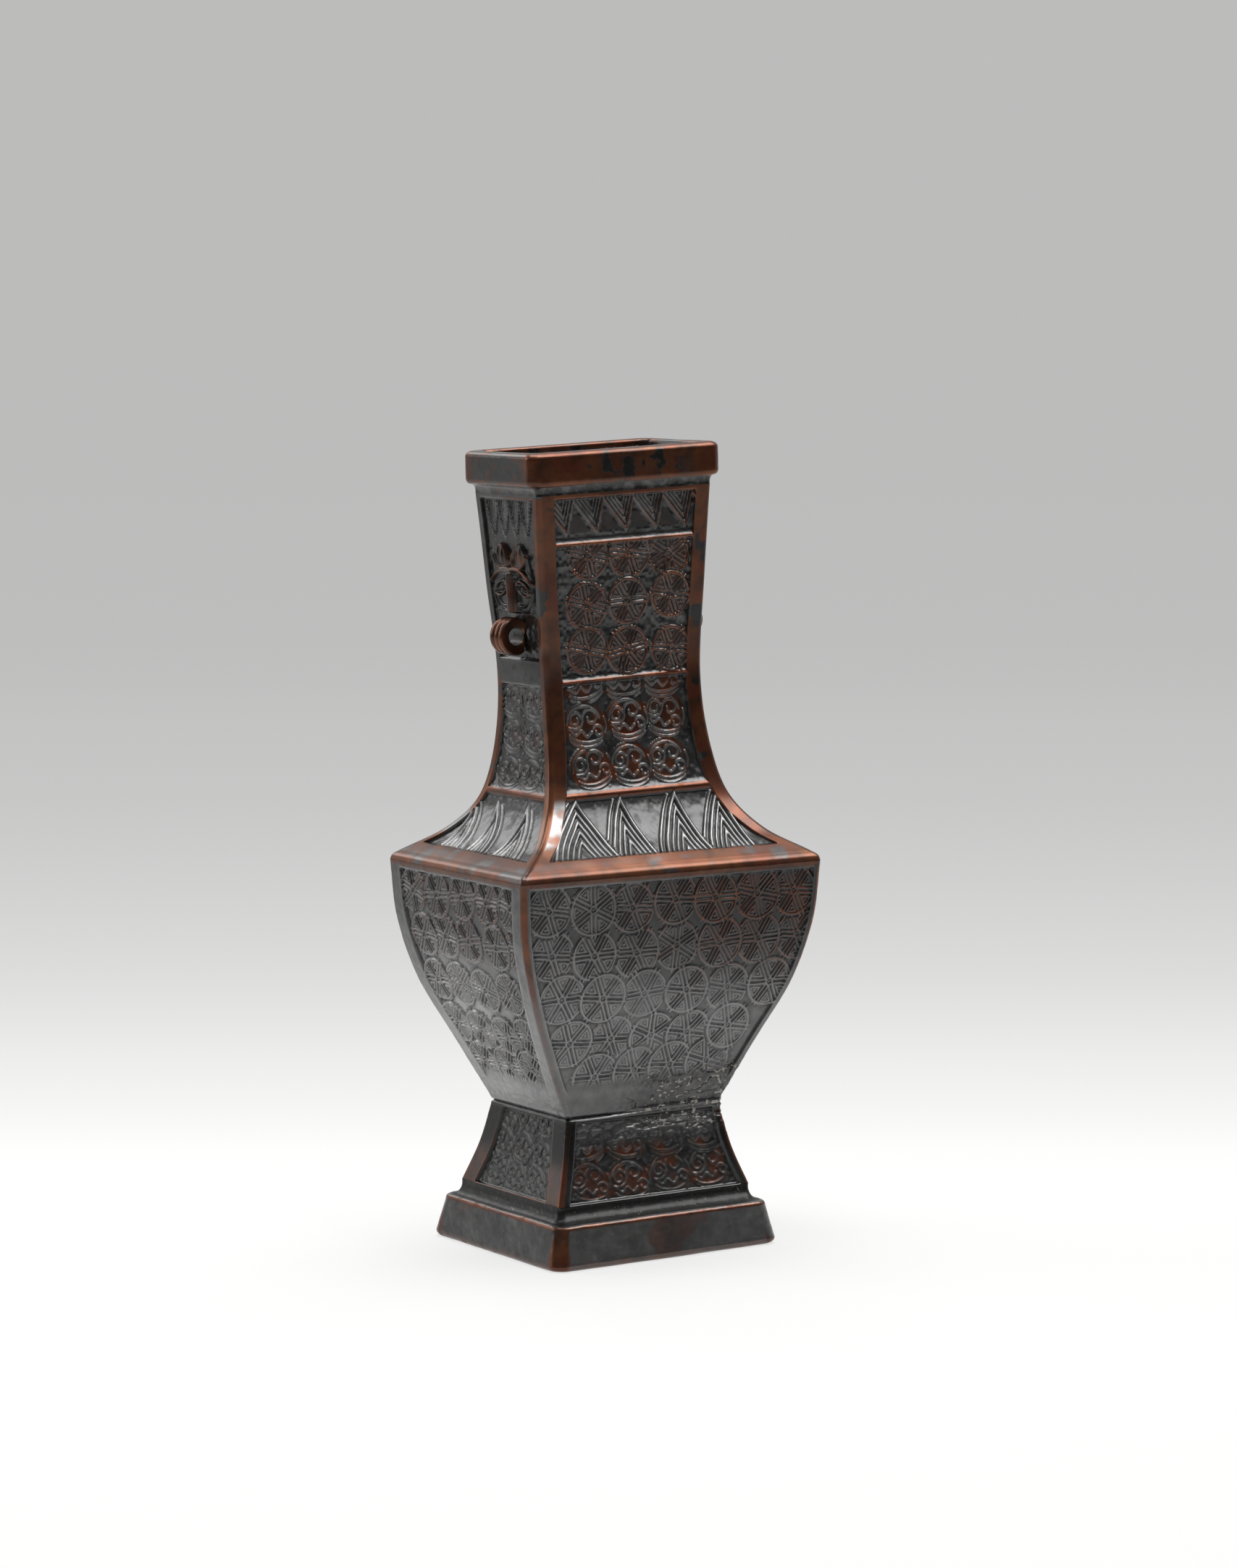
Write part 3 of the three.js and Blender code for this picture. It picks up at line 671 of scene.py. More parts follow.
def ring_quads(rows, columns):
    """Corners of the faces of a grid whose rows and whose columns join end to end."""
    place = np.arange(rows * columns).reshape(rows, columns)
    above = np.roll(place, -1, axis=0)
    return np.stack([place, np.roll(place, -1, axis=1), np.roll(above, -1, axis=1), above], axis=-1)


def ring_map(points, outer_rows, side_starts):
    """Place on the map of each corner of a ring's faces: a tile for each side, in which the
    outline's length runs up and the inner wall is drawn smaller."""
    rows, columns = points.shape[:2]
    lengths = np.linalg.norm(np.roll(points[:, 0], -1, axis=0) - points[:, 0], axis=-1)
    lengths[outer_rows:] *= INNER_MAP_SCALE
    up = np.concatenate([[0], np.cumsum(lengths)]) / lengths.sum()
    uv = np.zeros((rows, columns, 4, 2))
    ends = [*side_starts[1:], columns]
    for side, (start, end) in enumerate(zip(side_starts, ends)):
        left, low = (MAP_MARGIN + MAP_PITCH * place for place in (side % 2, side // 2))
        run = left + MAP_TILE * np.linspace(0, 1, end - start + 1)
        climb = low + MAP_TILE * up
        uv[:, start:end, [0, 3], 0] = run[:-1, None]
        uv[:, start:end, [1, 2], 0] = run[1:, None]
        uv[:, start:end, [0, 1], 1] = climb[:-1, None, None]
        uv[:, start:end, [2, 3], 1] = climb[1:, None, None]
    return uv


def ring_piece(name, zone, inner, cad_node):
    """Closes a ring-shaped band: up the outside, across, and down the inner wall, row by row.
    Faces across the ends have flat normals and lie against the neighbouring band."""
    points = lean(np.concatenate([zone.points, inner]))
    rows, columns = points.shape[:2]
    outer_rows = len(zone.points)
    quads = ring_quads(rows, columns)
    vertex_normals = np.zeros_like(points)
    vertex_normals[:outer_rows] = zone.normals
    if len(inner):
        vertex_normals[outer_rows:] = grid_normals(points[outer_rows:], True)
    corner_normals = vertex_normals.reshape(-1, 3)[quads]
    flat = points.reshape(-1, 3)
    for cap in (outer_rows - 1, rows - 1):
        corners = flat[quads[cap]]
        normal = np.cross(corners[:, 1] - corners[:, 0], corners[:, 3] - corners[:, 0])
        corner_normals[cap] = unit(normal)[:, None, :]
    painted = np.ones((rows, columns, 4))
    painted[:outer_rows, :, :3] = zone.finish
    painted[outer_rows:, :, :3] = INNER_FINISH
    first_inside = outer_rows if len(inner) else outer_rows - 1
    piece = mesh_object(
        name,
        flat * MM,
        quads.reshape(-1, 4),
        corner_normals,
        painted,
        ring_map(points, outer_rows, zone.starts),
        [material("waxed_patina"), material("rough_bronze")],
        np.repeat(np.arange(rows) >= first_inside, columns),
    )
    fit(piece, [cad_node])


def ring_zone(profile, low, high, grid, strips, form):
    """Outer surface of one zone: its relief, normals and finish, with the rows beyond its ends
    taken off again after they have served the normals."""
    rows, counts = grid
    faces = ring_faces(rows_between(profile, low, high, rows), strips, counts)
    unevenness = relief_size("unevenness")
    # Each finish is rubbed to copper on what stands up and gets painted shade in its hollows.
    shapes = [worn_and_cavity_shaded(form(face)) for face in faces]
    points = [
        raised_points(face, shape[0] + uneven(face.point, unevenness))
        for face, shape in zip(faces, shapes)
    ]
    points = np.concatenate(points, axis=1)
    finish = np.concatenate([np.stack(shape[1:4], axis=-1) for shape in shapes], axis=1)
    normals = grid_normals(lean(points), True)
    starts = np.cumsum([0] + [face.along.shape[1] for face in faces])[:4]
    return SimpleNamespace(
        points=points[1:-1],
        normals=normals[1:-1],
        finish=np.clip(finish[1:-1], 0, GREY_LIMIT),
        starts=starts.tolist(),
    )


def inner_rings(line, strips, grid):
    """Plain rings of the inner wall with as many columns as the outer surface has."""
    rows = SimpleNamespace(
        half=line[:, :2],
        height=line[:, 2],
        corner=np.full(len(line), BODY_CORNER),
        climb=np.zeros((len(line), 2)),
        normals=[np.tile([1.0, 0.0], (len(line), 1))] * 2,
    )
    return np.concatenate([face.point for face in ring_faces(rows, strips, grid[1])], axis=1)


def wheel(across, up, radius, tilt):
    """Stamped wheel. Six spokes of two lines each run from the hub to a thin rim, and between
    them lie two nested triangles. A line stands where the distance to the nearest spoke's middle
    line, or to the rim, has a set value."""
    distance = np.hypot(across, up)
    sixth = math.pi / 3
    turn = np.mod(np.arctan2(up, across) - tilt + sixth / 2, sixth) - sixth / 2
    from_spoke = np.abs(distance * np.sin(turn))
    from_rim = radius - distance
    width = relief_size("line_width")
    spokes = ridge((from_spoke - SPOKE_HALF_GAP) / width) * smoothstep(distance, 0.9, 1.3)
    nested = np.minimum(from_spoke, from_rim + TRIANGLE_RIM_GAP)
    triangles = 0.85 * sum(ridge((nested - line) / width) for line in TRIANGLE_LINES)
    rim = ridge(from_rim / (1.4 * width))
    hub = np.maximum(ridge((distance - HUB_RADIUS) / width), 0.8 * bump(distance / 0.45))
    return np.maximum.reduce([spokes, triangles, rim, hub])


def stamp(face, fields, centre, size, pattern):
    """Presses one stamp into a face. Inside its outline its pattern replaces what was there, and
    the second field keeps where the face is stamped."""
    across = face.along - centre[0]
    up = face.climb - centre[1]
    inside = np.hypot(across / size[0], up / size[1]) < 1
    fields[0][inside] = pattern(across[inside], up[inside])
    fields[1][inside] = 1


def wheel_rows(face, profile, rows, radius, seed):
    """Rows of wheels across a panel. Each row has a height, its first place, a spacing and a
    number, and every stamp is a little off its place, turned, and worn."""
    rng = np.random.default_rng(seed + 17 * face.turn)
    fields = [np.zeros_like(face.along), np.zeros_like(face.along)]
    centres = []
    for height, first, spacing, number in rows:
        climb = climb_at(profile, height, face.kind)
        for place in range(number):
            shift = rng.normal(0, 0.4, 2)
            centres.append((first + spacing * place + shift[0], climb + shift[1]))
    rng.shuffle(centres)
    outer = radius + WHEEL_FLANGE + 0.2
    for centre in centres:
        tilt = math.radians(rng.normal(-8, 9))
        size = radius * rng.uniform(0.97, 1.03)
        strength = rng.uniform(0.85, 1)
        stamp(
            face,
            fields,
            centre,
            (outer, outer),
            lambda across, up: strength * wheel(across, up, size, tilt),
        )
    worn = smoothstep(grain(face.point, 6, seed + 5), 0.12, 0.4)
    return fields[0] * mix(0.6, 1, worn)


def stroke_field(across, up, strokes, width):
    """Height of drawn lines: a bump across the distance to the nearest stretch of any stroke."""
    nearest = np.full(across.shape, 9.0)
    for stroke in strokes:
        start, end = stroke[:-1], stroke[1:]
        run = end - start
        size = np.maximum(np.square(run).sum(axis=1), 1e-9)
        off_x = across[:, None] - start[:, 0]
        off_y = up[:, None] - start[:, 1]
        share = np.clip((off_x * run[:, 0] + off_y * run[:, 1]) / size, 0, 1)
        gap = np.hypot(off_x - share * run[:, 0], off_y - share * run[:, 1]).min(axis=1)
        nearest = np.minimum(nearest, gap)
    return ridge(nearest / width)


def spiral(centre, start_radius, end_radius, start, turn, steps=22):
    """Spiral line: the radius changes evenly with the angle, in degrees."""
    share = np.linspace(0, 1, steps)[:, None]
    angle = np.radians(start + turn * share)
    radius = mix(start_radius, end_radius, share)
    return np.asarray(centre) + radius * np.hstack([np.cos(angle), np.sin(angle)])


def oval_arc(centre, radii, start, end, steps=18):
    """Part of an oval between two angles in degrees."""
    angle = np.radians(np.linspace(start, end, steps))[:, None]
    return np.asarray(centre) + np.asarray(radii) * np.hstack([np.cos(angle), np.sin(angle)])


def scroll_strokes():
    """Lines of one scroll roundel, about 11 by 9.6 mm: an arch over two hooked spirals that an S
    joins, a wave across the middle, a small spiral at the lower right and arcs at the bottom."""
    joining = [[-1.85, 2.65], [-1.1, 1.9], [-0.8, 1.0], [-1.2, -0.1], [-2.4, -0.75], [-4.3, -0.5]]
    wave_x = np.linspace(-4.1, 1.7, 26)
    wave_y = -1.7 - 0.1 * wave_x + 0.55 * np.cos(wave_x * 2.15 + 2.4)
    return [
        oval_arc((-0.4, -0.2), (4.5, 4.4), 28, 172),
        oval_arc((-0.8, -0.2), (5.2, 5.1), 95, 178),
        spiral((-2.7, 1.2), 1.7, 0.65, 60, 330),
        spiral((1.3, 1.8), 2.1, 0.8, 185, -360),
        np.array(joining),
        np.stack([wave_x, wave_y], axis=1),
        spiral((3.2, -1.2), 1.45, 0.6, 150, -330),
        oval_arc((0.1, -0.9), (4.7, 2.7), 205, 330),
        oval_arc((0.1, -0.9), (5.0, 3.7), 215, 322),
        oval_arc((0.0, 0.0), (5.1, 4.4), -18, 25),
    ]


def scroll_grid(face, profile, layout, seed):
    """Roundels in rows and columns on a panel, each a little off its place and turned: the height
    of their lines, and where the panel is stamped."""
    rows, columns, scale = layout
    rng = np.random.default_rng(seed + 31 * face.turn)
    fields = [np.zeros_like(face.along), np.zeros_like(face.along)]
    width = 0.95 * relief_size("line_width") / scale
    strokes = scroll_strokes()
    cells = [(column, row) for row in rows for column in columns]
    rng.shuffle(cells)
    for column, row in cells:
        place = column + rng.normal(0, 0.25)
        climb = climb_at(profile, row, face.kind) + rng.normal(0, 0.25)
        tilt = math.radians(rng.normal(0, 5))
        strength = rng.uniform(0.8, 1)

        def drawn(across, up):
            turned_across = (across * math.cos(tilt) + up * math.sin(tilt)) / scale
            turned_up = (up * math.cos(tilt) - across * math.sin(tilt)) / scale
            return strength * stroke_field(turned_across, turned_up, strokes, width)

        stamp(face, fields, (place, climb), [reach * scale for reach in ROUNDEL_REACH], drawn)
    return fields


def chevrons(inside, levels, width):
    """Nested V lines: a ridge at each level of the distance in from the outline."""
    return np.maximum.reduce([ridge((inside - level) / width) for level in levels])


def hanging_blades(face, tip_height, first, spacing):
    """Row of V-shaped blades that hang from the upper edge, the left leg of each at a slant and
    the right one steep, with lines nested inside. The second field is the dark patch between two
    tips."""
    left_slope, right_slope = 0.87, 0.22
    rise = face.height - tip_height
    reach = spacing * left_slope / (left_slope + right_slope)
    across = np.mod(face.along - first + reach, spacing) - reach
    from_left = (across + left_slope * rise) / math.hypot(1, left_slope)
    from_right = (right_slope * rise - across) / math.hypot(1, right_slope)
    inside = np.minimum(from_left, from_right)
    nested = 0.75 * chevrons(inside, (0.95, 1.75, 2.5), 0.36)
    lines = np.maximum(chevrons(inside, (0.05,), 0.48), nested)
    patch = smoothstep(-inside, 0.7, 1.1) * smoothstep(rise, -0.4, 0.2) * smoothstep(rise, 4.6, 3.8)
    return lines * (inside > -0.5) * smoothstep(rise, -0.8, 0.2), patch


def rising_blades(face, blades, apex_height):
    """Triangles that stand on the lower edge. Each has the place of its apex, how far its middle
    moves sideways and how far it widens for each millimetre down, and holds nested lines
    parallel to its legs. A later one covers the ones before."""
    fall = apex_height - face.height
    lines = np.zeros_like(face.along)
    wobble = 0.5 * (grain(face.point, 6, 371) - 0.5)
    for apex, tilt, slope in blades:
        across = face.along - apex - tilt * fall + wobble
        inside = (slope * fall - np.abs(across)) / math.hypot(1, slope)
        nested = 0.85 * chevrons(inside, (1.35, 2.5, 3.65, 4.8), 0.5)
        blade = np.maximum(chevrons(inside, (0.1,), 0.62), nested)
        beside = 0.8 * chevrons(inside, (-1.5,), 0.5) * (across * tilt > 0) * (fall > 0)
        lines = np.where(inside > -2.1, np.maximum(beside, lines), lines)
        lines = np.where(inside > -0.6, blade, lines)
    return lines


def fans(face, middles, half, top, bottom):
    """Fans of fine lines that open upwards from the given places."""
    lines = np.zeros_like(face.along)
    rise = np.clip((face.height - bottom) / (top - bottom), 0, 1.3)
    for middle in middles:
        reach = 0.35 + half * rise
        across = (face.along - middle) / reach
        drawn = bump((np.mod(across * 3.5, 1) - 0.5) / 0.45) * (np.abs(across) < 1)
        lines = np.maximum(lines, drawn)
    return lines * smoothstep(face.height, bottom - 0.5, bottom + 1.5)


def rib(height, middle, roll, fillet):
    """Section of a raised rib: a rounded roll, with a hollow fillet running up from it."""
    rise = height - middle
    body = np.sqrt(bump(rise / roll))
    above = 0.85 * np.clip(1 - (rise - 0.3 * roll) / fillet, 0, 1) ** 2 * (rise > 0)
    return np.maximum(body, above)


def neck_form(face):
    """Panels and ribs of the neck: the height of the plain form, how far a place lies on the
    sunk ground, how far on the roll of a rib, and how far inside the panel."""
    height = face.height
    inside = smoothstep(face.panel, 0, 1)
    inside = inside * smoothstep(within(height, *NECK_PANEL), 0, PANEL_EDGE + 0.1)
    raised = rib(height, RIB_SHOULDER, 1.15, 2.0)
    roll = np.sqrt(bump((height - RIB_SHOULDER) / 1.1))
    if face.kind == 0:
        for middle in (RIB_MIDDLE, RIB_TOP):
            raised = np.maximum(raised, rib(height, middle, 0.62, 1.3))
            roll = np.maximum(roll, np.sqrt(bump((height - middle) / 0.6)))
    else:
        raised = np.maximum(raised, smoothstep(within(height, *SIDE_BAND), -0.5, 0.1))
    sunk = inside * (1 - raised)
    return -PANEL_DEPTH * sunk, sunk, inside * roll, inside


def neck_strip_finish(face):
    """Finish of the plain strips on the neck: rubbed to copper, with a few black patches. On the
    narrow faces the upper left strip and the top are dull instead."""
    patches = spots(face, 5.5, 301, 0.27, 0.33)
    low = smoothstep(face.height, 122, 104)
    copper = mix(0.15, mix(0.6, 0.85, low), patches) + 0.25 * (grain(face.point, 9, 302) - 0.5)
    grey = 0.04 + 0.12 * grain(face.point, 4, 303) + 0.22 * low
    if face.kind == 1:
        plain = smoothstep(face.along, 4, -4) * smoothstep(face.height, 126, 134)
        plain = np.maximum(plain, smoothstep(face.height, 169.5, 170.5))
        copper = copper * (1 - 0.75 * plain)
        grey = grey + 0.25 * plain
    return copper, grey


def neck_finish(face, form, lines, ground, line_copper, ground_grey):
    """Finish of the neck: copper strips and rolls, a pale sheen painted in the fillets over them, and
    a panel whose lines and ground differ."""
    _, sunk, roll, inside = form
    copper, grey = neck_strip_finish(face)
    panel_copper = mix(ground, line_copper, lines) * mix(0.6, 1.25, mottle(face.point, 4, 311))
    panel_grey = ground_grey * mix(0.3, 1.4, mottle(face.point, 3, 312))
    copper = np.maximum(mix(copper, panel_copper, inside), 0.85 * roll)
    grey = mix(grey, panel_grey, inside)
    # Painted sheen: the hollow fillets above the rib rolls are painted pale grey as highlights, and
    # lose their copper.
    fillet = np.clip(inside - sunk - roll, 0, 1)
    if face.kind == 1:
        fillet = fillet * smoothstep(within(face.height, *SIDE_BAND), 0, -0.8)
    grey = grey + 0.5 * fillet
    copper = copper * (1 - 0.8 * fillet)
    crust = 0.2 * inside * spots(face, 2.2, 313, 0.55, 0.75)
    return copper, grey, crust


def neck_blades_form(face):
    """Top zone of the neck: V blades on the wide faces and fine fans on the narrow ones."""
    form = neck_form(face)
    if face.kind == 0:
        lines, patch = hanging_blades(face, 161.9, 0.5, 7.9)
    else:
        lines, patch = fans(face, (-6.6, -2.2, 2.2, 6.6), 2.3, 169.5, 160.5), 0
    lines = lines * form[1] * mix(0.55, 1, smoothstep(grain(face.point, 5, 321), 0.2, 0.5))
    rough = pitted(face, 322, 0.2 if face.kind == 0 else 0.1) * form[1] * (1 - patch)
    tones = (0.14, 0.5, 0.45) if face.kind == 0 else (0.12, 0.08, 0.2 + 0.45 * lines)
    copper, grey, crust = neck_finish(face, form, lines, *tones)
    grey = mix(grey, 0.05, patch * form[1])
    copper = mix(copper, 0.25, patch * form[1])
    return form[0] + relief_size("line_height") * lines + rough, copper, grey, crust


def pitted(face, seed, depth):
    """Fine uneven skin of the sunk panels: lumps and pits under 1 mm across."""
    lumps = 0.6 * grain(face.point, 1.3, seed) + 0.4 * grain(face.point, 0.7, seed + 1)
    return depth * (lumps - 0.5)


def neck_wheels_form(face):
    """Middle zone of the neck: three rows of wheels on the wide faces. The narrow faces are
    plain behind the mask and the lug, with a band below that is dulled and painted darker as shade,
    darkest towards one end."""
    form = neck_form(face)
    if face.kind == 0:
        lines = wheel_rows(face, face_profile("body"), NECK_WHEELS, NECK_WHEEL_RADIUS, 331)
        copper, grey, crust = neck_finish(face, form, lines, 0.1, 0.62, 0.38)
        lumps = smoothstep(face.along, 11, 17) * (mottle(face.point, 2.5, 333) - 0.35)
        lumps = np.clip(lumps, 0, 1) * 0.5
    else:
        lines = np.zeros_like(face.along)
        copper, grey, crust = neck_finish(face, form, lines, 0.05, 0.3, 0.35)
        # Painted shade: the band under the lug is painted darker, darkest towards one end, where it
        # is also dulled.
        band = smoothstep(face.height, SIDE_BAND[0], SIDE_BAND[1] + 2)
        band = band * smoothstep(face.height, 137, 134)
        grey = grey * mix(0.7, 0.1 + 0.3 * smoothstep(face.along, 6, -6), band)
        crust = crust + 0.24 * band * smoothstep(face.along, -5, 3) * (1 - crust)
        lumps = 0
    rough = (pitted(face, 332, 0.3) + lumps) * form[1]
    rise = form[0] + 0.8 * relief_size("line_height") * lines * form[1] + rough
    return rise, copper, grey, crust


def stamped_ground(stamped):
    """The ground inside the roundels, which stands up: smoothed and drawn in from their edges."""
    return np.clip(1.6 * softened(stamped, 1) - 0.6, 0, 1)


def neck_roundels_form(face):
    """Lower zone of the neck: rows of scroll roundels, the top one of the wide faces cut off."""
    form = neck_form(face)
    lines, stamped = scroll_grid(face, face_profile("body"), NECK_ROUNDELS[face.kind], 341)
    raised = stamped_ground(stamped)
    ground = 0.05 + raised * mix(0.25, 0.8, spots(face, 2.6, 343, 0.25, 0.6))
    shade = 1 if face.kind == 0 else 0.5
    tones = (shade * ground, 0.05, shade * (0.42 + 0.1 * lines))
    copper, grey, crust = neck_finish(face, form, lines, *tones)
    rough = pitted(face, 342, 0.3) * form[1] * (1 - 0.75 * raised)
    rise = form[0] + 0.52 * relief_size("line_height") * lines * form[1] + rough
    return rise, copper, grey, crust


def shoulder_form(face):
    """Sloping shoulder: blades that rise from the copper frame above the belly. A corner strip of
    the front is painted pale grey in patches, as a highlight."""
    form = neck_form(face)
    height = face.height
    lines = rising_blades(face, SHOULDER_BLADES[face.kind], SHOULDER_APEXES[face.kind]) * form[1]
    copper, grey, crust = neck_finish(face, form, lines, 0.14, 0.1, 0.16 + 1.1 * lines)
    outer = 1 - form[3]
    frame_copper = mix(0.3, 0.8, spots(face, 5, 351, 0.3, 0.5))
    if face.turn == 3:
        grey_band = 0.35 * bump((height - 89.9) / 1.6)
    else:
        grey_band = 0.3 * bump((height - 90.2) / 1.2)
    copper = mix(copper, frame_copper, outer * smoothstep(height, 91.5, 89))
    copper = copper * (1 - 0.85 * grey_band * outer)
    grey = grey + 0.45 * grey_band * outer
    if face.turn == 0:
        # Painted highlight: the front's left strip is painted pale grey in patches, with its copper
        # taken away.
        lit = outer * (face.along < 0) * smoothstep(height, 92, 94.5) * smoothstep(height, 105, 102)
        lit = lit * spots(face, 5, 353, 0.1, 0.6)
        copper = copper * (1 - 0.75 * lit)
        grey = grey + 0.9 * lit
    rough = pitted(face, 352, 0.11) * form[1] * (1 - 0.5 * lines)
    rise = form[0] + 1.35 * relief_size("line_height") * lines + rough
    return rise, copper, grey, crust * form[1]


def belly_form(face):
    """Belly: rows of wheels in a shallow panel, over a plain band that turns under to the waist.
    The front is browner towards its upper right, and the narrow faces are painted palest halfway up,
    as a sheen. The joint with the foot is rough and cracked on the front."""
    height = face.height
    wide = face.kind == 0
    ends = smoothstep(height, BELLY_PANEL[0] - 1, BELLY_PANEL[0] + 2.5)
    ends = ends * smoothstep(height, BELLY_PANEL[1], BELLY_PANEL[1] - PANEL_EDGE)
    inside = smoothstep(face.panel, 0, 1) * ends
    rows = WIDE_BELLY_WHEELS if wide else NARROW_BELLY_WHEELS
    radius = BELLY_WHEEL_RADII[face.kind]
    lines = wheel_rows(face, face_profile("body"), rows, radius, 401 + face.turn)
    rubbed = mix(0.6 if wide else 0.9, 1, spots(face, 9, 402, 0.25, 0.42))
    lines = lines * inside * rubbed * smoothstep(height, 38.5, 41)
    line_height = relief_size("wheel_height")
    if wide:
        lines = lines * mix(1, 0.8, smoothstep(height, 55, 75))
    else:
        line_height = line_height * mix(1.1, 1.6, smoothstep(height, 72, 56))
    joint = joint_share(face)
    rise = line_height * lines * (1 - 0.7 * joint) - PANEL_DEPTH * inside
    rise = rise + pitted(face, 403, 0.09) + joint * crack_relief(face) + waist_fill(face, joint)
    upper = smoothstep(height, 52, 80)
    right = smoothstep(face.along, -30, 25) if face.turn == 0 else 0.1
    line_copper = 0.22 + 0.5 * upper * (0.3 + 0.7 * right)
    ground_copper = 0.02 + 0.2 * upper * right * spots(face, 7, 404, 0.45, 0.7)
    copper = mix(ground_copper, line_copper, lines)
    grey = mix(0.8, 0.04, upper * (0.45 + 0.55 * right))
    grey = grey + 0.25 * (mottle(face.point, 5, 405) - 0.5)
    if wide:
        grey = grey * mix(0.75, 1, smoothstep(height, 34, 42)) * (1 - 0.35 * joint)
    else:
        # Painted sheen: the narrow faces are painted paler around their middle, and paler still on
        # the lines.
        pale = bump((face.along + 6) / 17) * bump((height - 52) / 24)
        grey = grey + pale * (0.8 + 0.7 * lines)
    # Painted shade and highlight: the lines are painted lighter and the ground between them darker.
    grey = grey + 0.3 * (lines - 0.3) * inside
    arris = np.maximum(face.round, smoothstep(face.edge_distance, 1.5, 0.9))
    strip_copper = mix(0.45, 1, smoothstep(height, 45, 84)) * smoothstep(height, 31, 38)
    copper = np.where(inside > 0.5, copper, 0.7 * arris * strip_copper)
    copper = mix(copper, 0.55, smoothstep(height, 85.2, 86.6))
    crust = joint * np.maximum(0.9 * flecks(face, 406), cracked(face))
    return rise, copper, grey, crust


def flecks(face, seed):
    """Small pale flecks, drawn out sideways, thick in some places and rare in others."""
    flat = face.point * np.array([0.45, 0.45, 1.0])
    small = smoothstep(grain(flat, 0.34, seed), 0.58, 0.74)
    return small * spots(face, 4, seed + 1, 0.3, 0.46)


def waist_fill(face, joint):
    """Metal that fills the groove between belly and foot where the joint is rough."""
    return 0.7 * bump((face.height - WAIST_HEIGHT) / 1.5) * joint


def joint_share(face):
    """How far a place lies in the rough joint between belly and foot, worst at the front right."""
    across = smoothstep(face.along, -12, 4) if face.turn == 0 else 0.15
    waved = face.height + 4 * (grain(face.point, 7, 451) - 0.5)
    return across * smoothstep(waved, 24, 29) * smoothstep(waved, 45, 38)


def cracked(face):
    """Level cracks of the corroded joint, a few millimetres long, in some places only."""
    flat = face.point * np.array([0.3, 0.3, 1.0])
    creases = np.abs(mottle(flat, 2.6, 461) - 0.5)
    return bump(creases / 0.035) * spots(face, 3.5, 464, 0.3, 0.5)


def crack_relief(face):
    """Relief of the corroded joint: lumps, pits and cracks."""
    lumps = 0.3 * (mottle(face.point, 1.5, 462) - 0.5)
    return lumps + pitted(face, 463, 0.2) - 0.25 * cracked(face)


def foot_form(face):
    """Flared foot: scroll roundels in sunk panels. On the wide faces the upper ones are worn away
    and wrinkles stand in their place."""
    height = face.height
    wide = face.kind == 0
    ends = within(height, FOOT_PANEL_BOTTOM + 0.2, FOOT_PANEL_TOP)
    inside = smoothstep(face.panel, 0, 1) * smoothstep(ends, 0, PANEL_EDGE)
    lines, stamped = scroll_grid(face, face_profile("foot"), FOOT_ROUNDELS[face.kind], 501)
    kept = 1 - 0.8 * smoothstep(height, 23, 28) if wide else 1
    raised = stamped_ground(stamped) * kept
    lines = softened(lines, 1) * inside * kept
    joint = joint_share(face)
    line_height = (0.42 if wide else 0.5) * relief_size("line_height")
    rise = (line_height * lines - PANEL_DEPTH) * inside
    wrinkles = mottle(face.point * np.array([0.4, 0.4, 1.0]), 1.3, 507) - 0.5
    rise = rise + 0.7 * wrinkles * (1 - kept) * inside
    rise = rise + joint * crack_relief(face) + waist_fill(face, joint)
    rise = rise + pitted(face, 502, 0.25) * inside * (1 - 0.7 * raised)
    shade = 1 if wide else 0.45
    ground = 0.06 + 0.55 * shade * raised * spots(face, 3, 503, 0.25, 0.6)
    copper = mix(ground, 0.03, lines) * (1 - joint)
    arris = bump((face.edge_distance - 0.5) / 1.0)
    strip = 0.05 + 0.6 * arris * shade + 0.2 * spots(face, 5, 504, 0.55, 0.68)
    if not wide:
        strip = strip + 0.3 * smoothstep(height, 26, 19)
    strip = strip * smoothstep(height, FOOT_PANEL_TOP + 0.2, FOOT_PANEL_TOP - 0.6)
    copper = mix(strip, copper, inside)
    top = 0.3 * smoothstep(height, FOOT_PANEL_TOP - 1, FOOT_PANEL_TOP)
    grey = mix(0.05 + top, 0.22 + 0.2 * lines + 0.35 * (1 - kept), inside)
    grey = grey * (1 if wide else 0.5) + 0.16 * (mottle(face.point, 4, 505) - 0.5)
    dull = 0.22 * (1 - kept) * inside if wide else 0.14
    crust = np.maximum(0.9 * joint * flecks(face, 506), dull)
    return rise, copper, grey, crust


def plinth_form(face):
    """Plain plinth: nearly black, with its edges and corners rubbed to copper in places, and a
    dull cove above it."""
    height = face.height
    above = height > PLINTH_HEIGHT + PLINTH_ARRIS_ROUND
    arris = bump((height - PLINTH_HEIGHT - 0.3) / 0.9)
    reach = mix(6.5, 3, np.clip(height / PLINTH_HEIGHT, 0, 1))
    corner = smoothstep(face.edge_distance, reach, 0.4 * reach) * (height < PLINTH_HEIGHT + 0.6)
    corner = corner * spots(face, 4, 525, 0.3, 0.55)
    patch = spots(face, 9, 521, 0.52, 0.7) * (height < PLINTH_HEIGHT)
    low = smoothstep(height, 3.2, 0.6)
    copper = np.maximum.reduce([0.66 * arris, 0.66 * corner, 0.4 * patch, 0.45 * low])
    side_grey = (0.37 if face.turn == 3 else 0.7) * mix(0.6, 1.3, mottle(face.point, 10, 522))
    grey = np.where(above, 0.12 * mottle(face.point, 3, 526), side_grey)
    crust = np.where(above, 0.29, 0.3 * spots(face, 2.5, 523, 0.6, 0.8))
    rough = 0.12 * (mottle(face.point, 1.8, 524) - 0.5) + 0.25 * (grain(face.point, 9, 527) - 0.5)
    return rough * smoothstep(height, 0.2, 1.5), copper, grey, crust


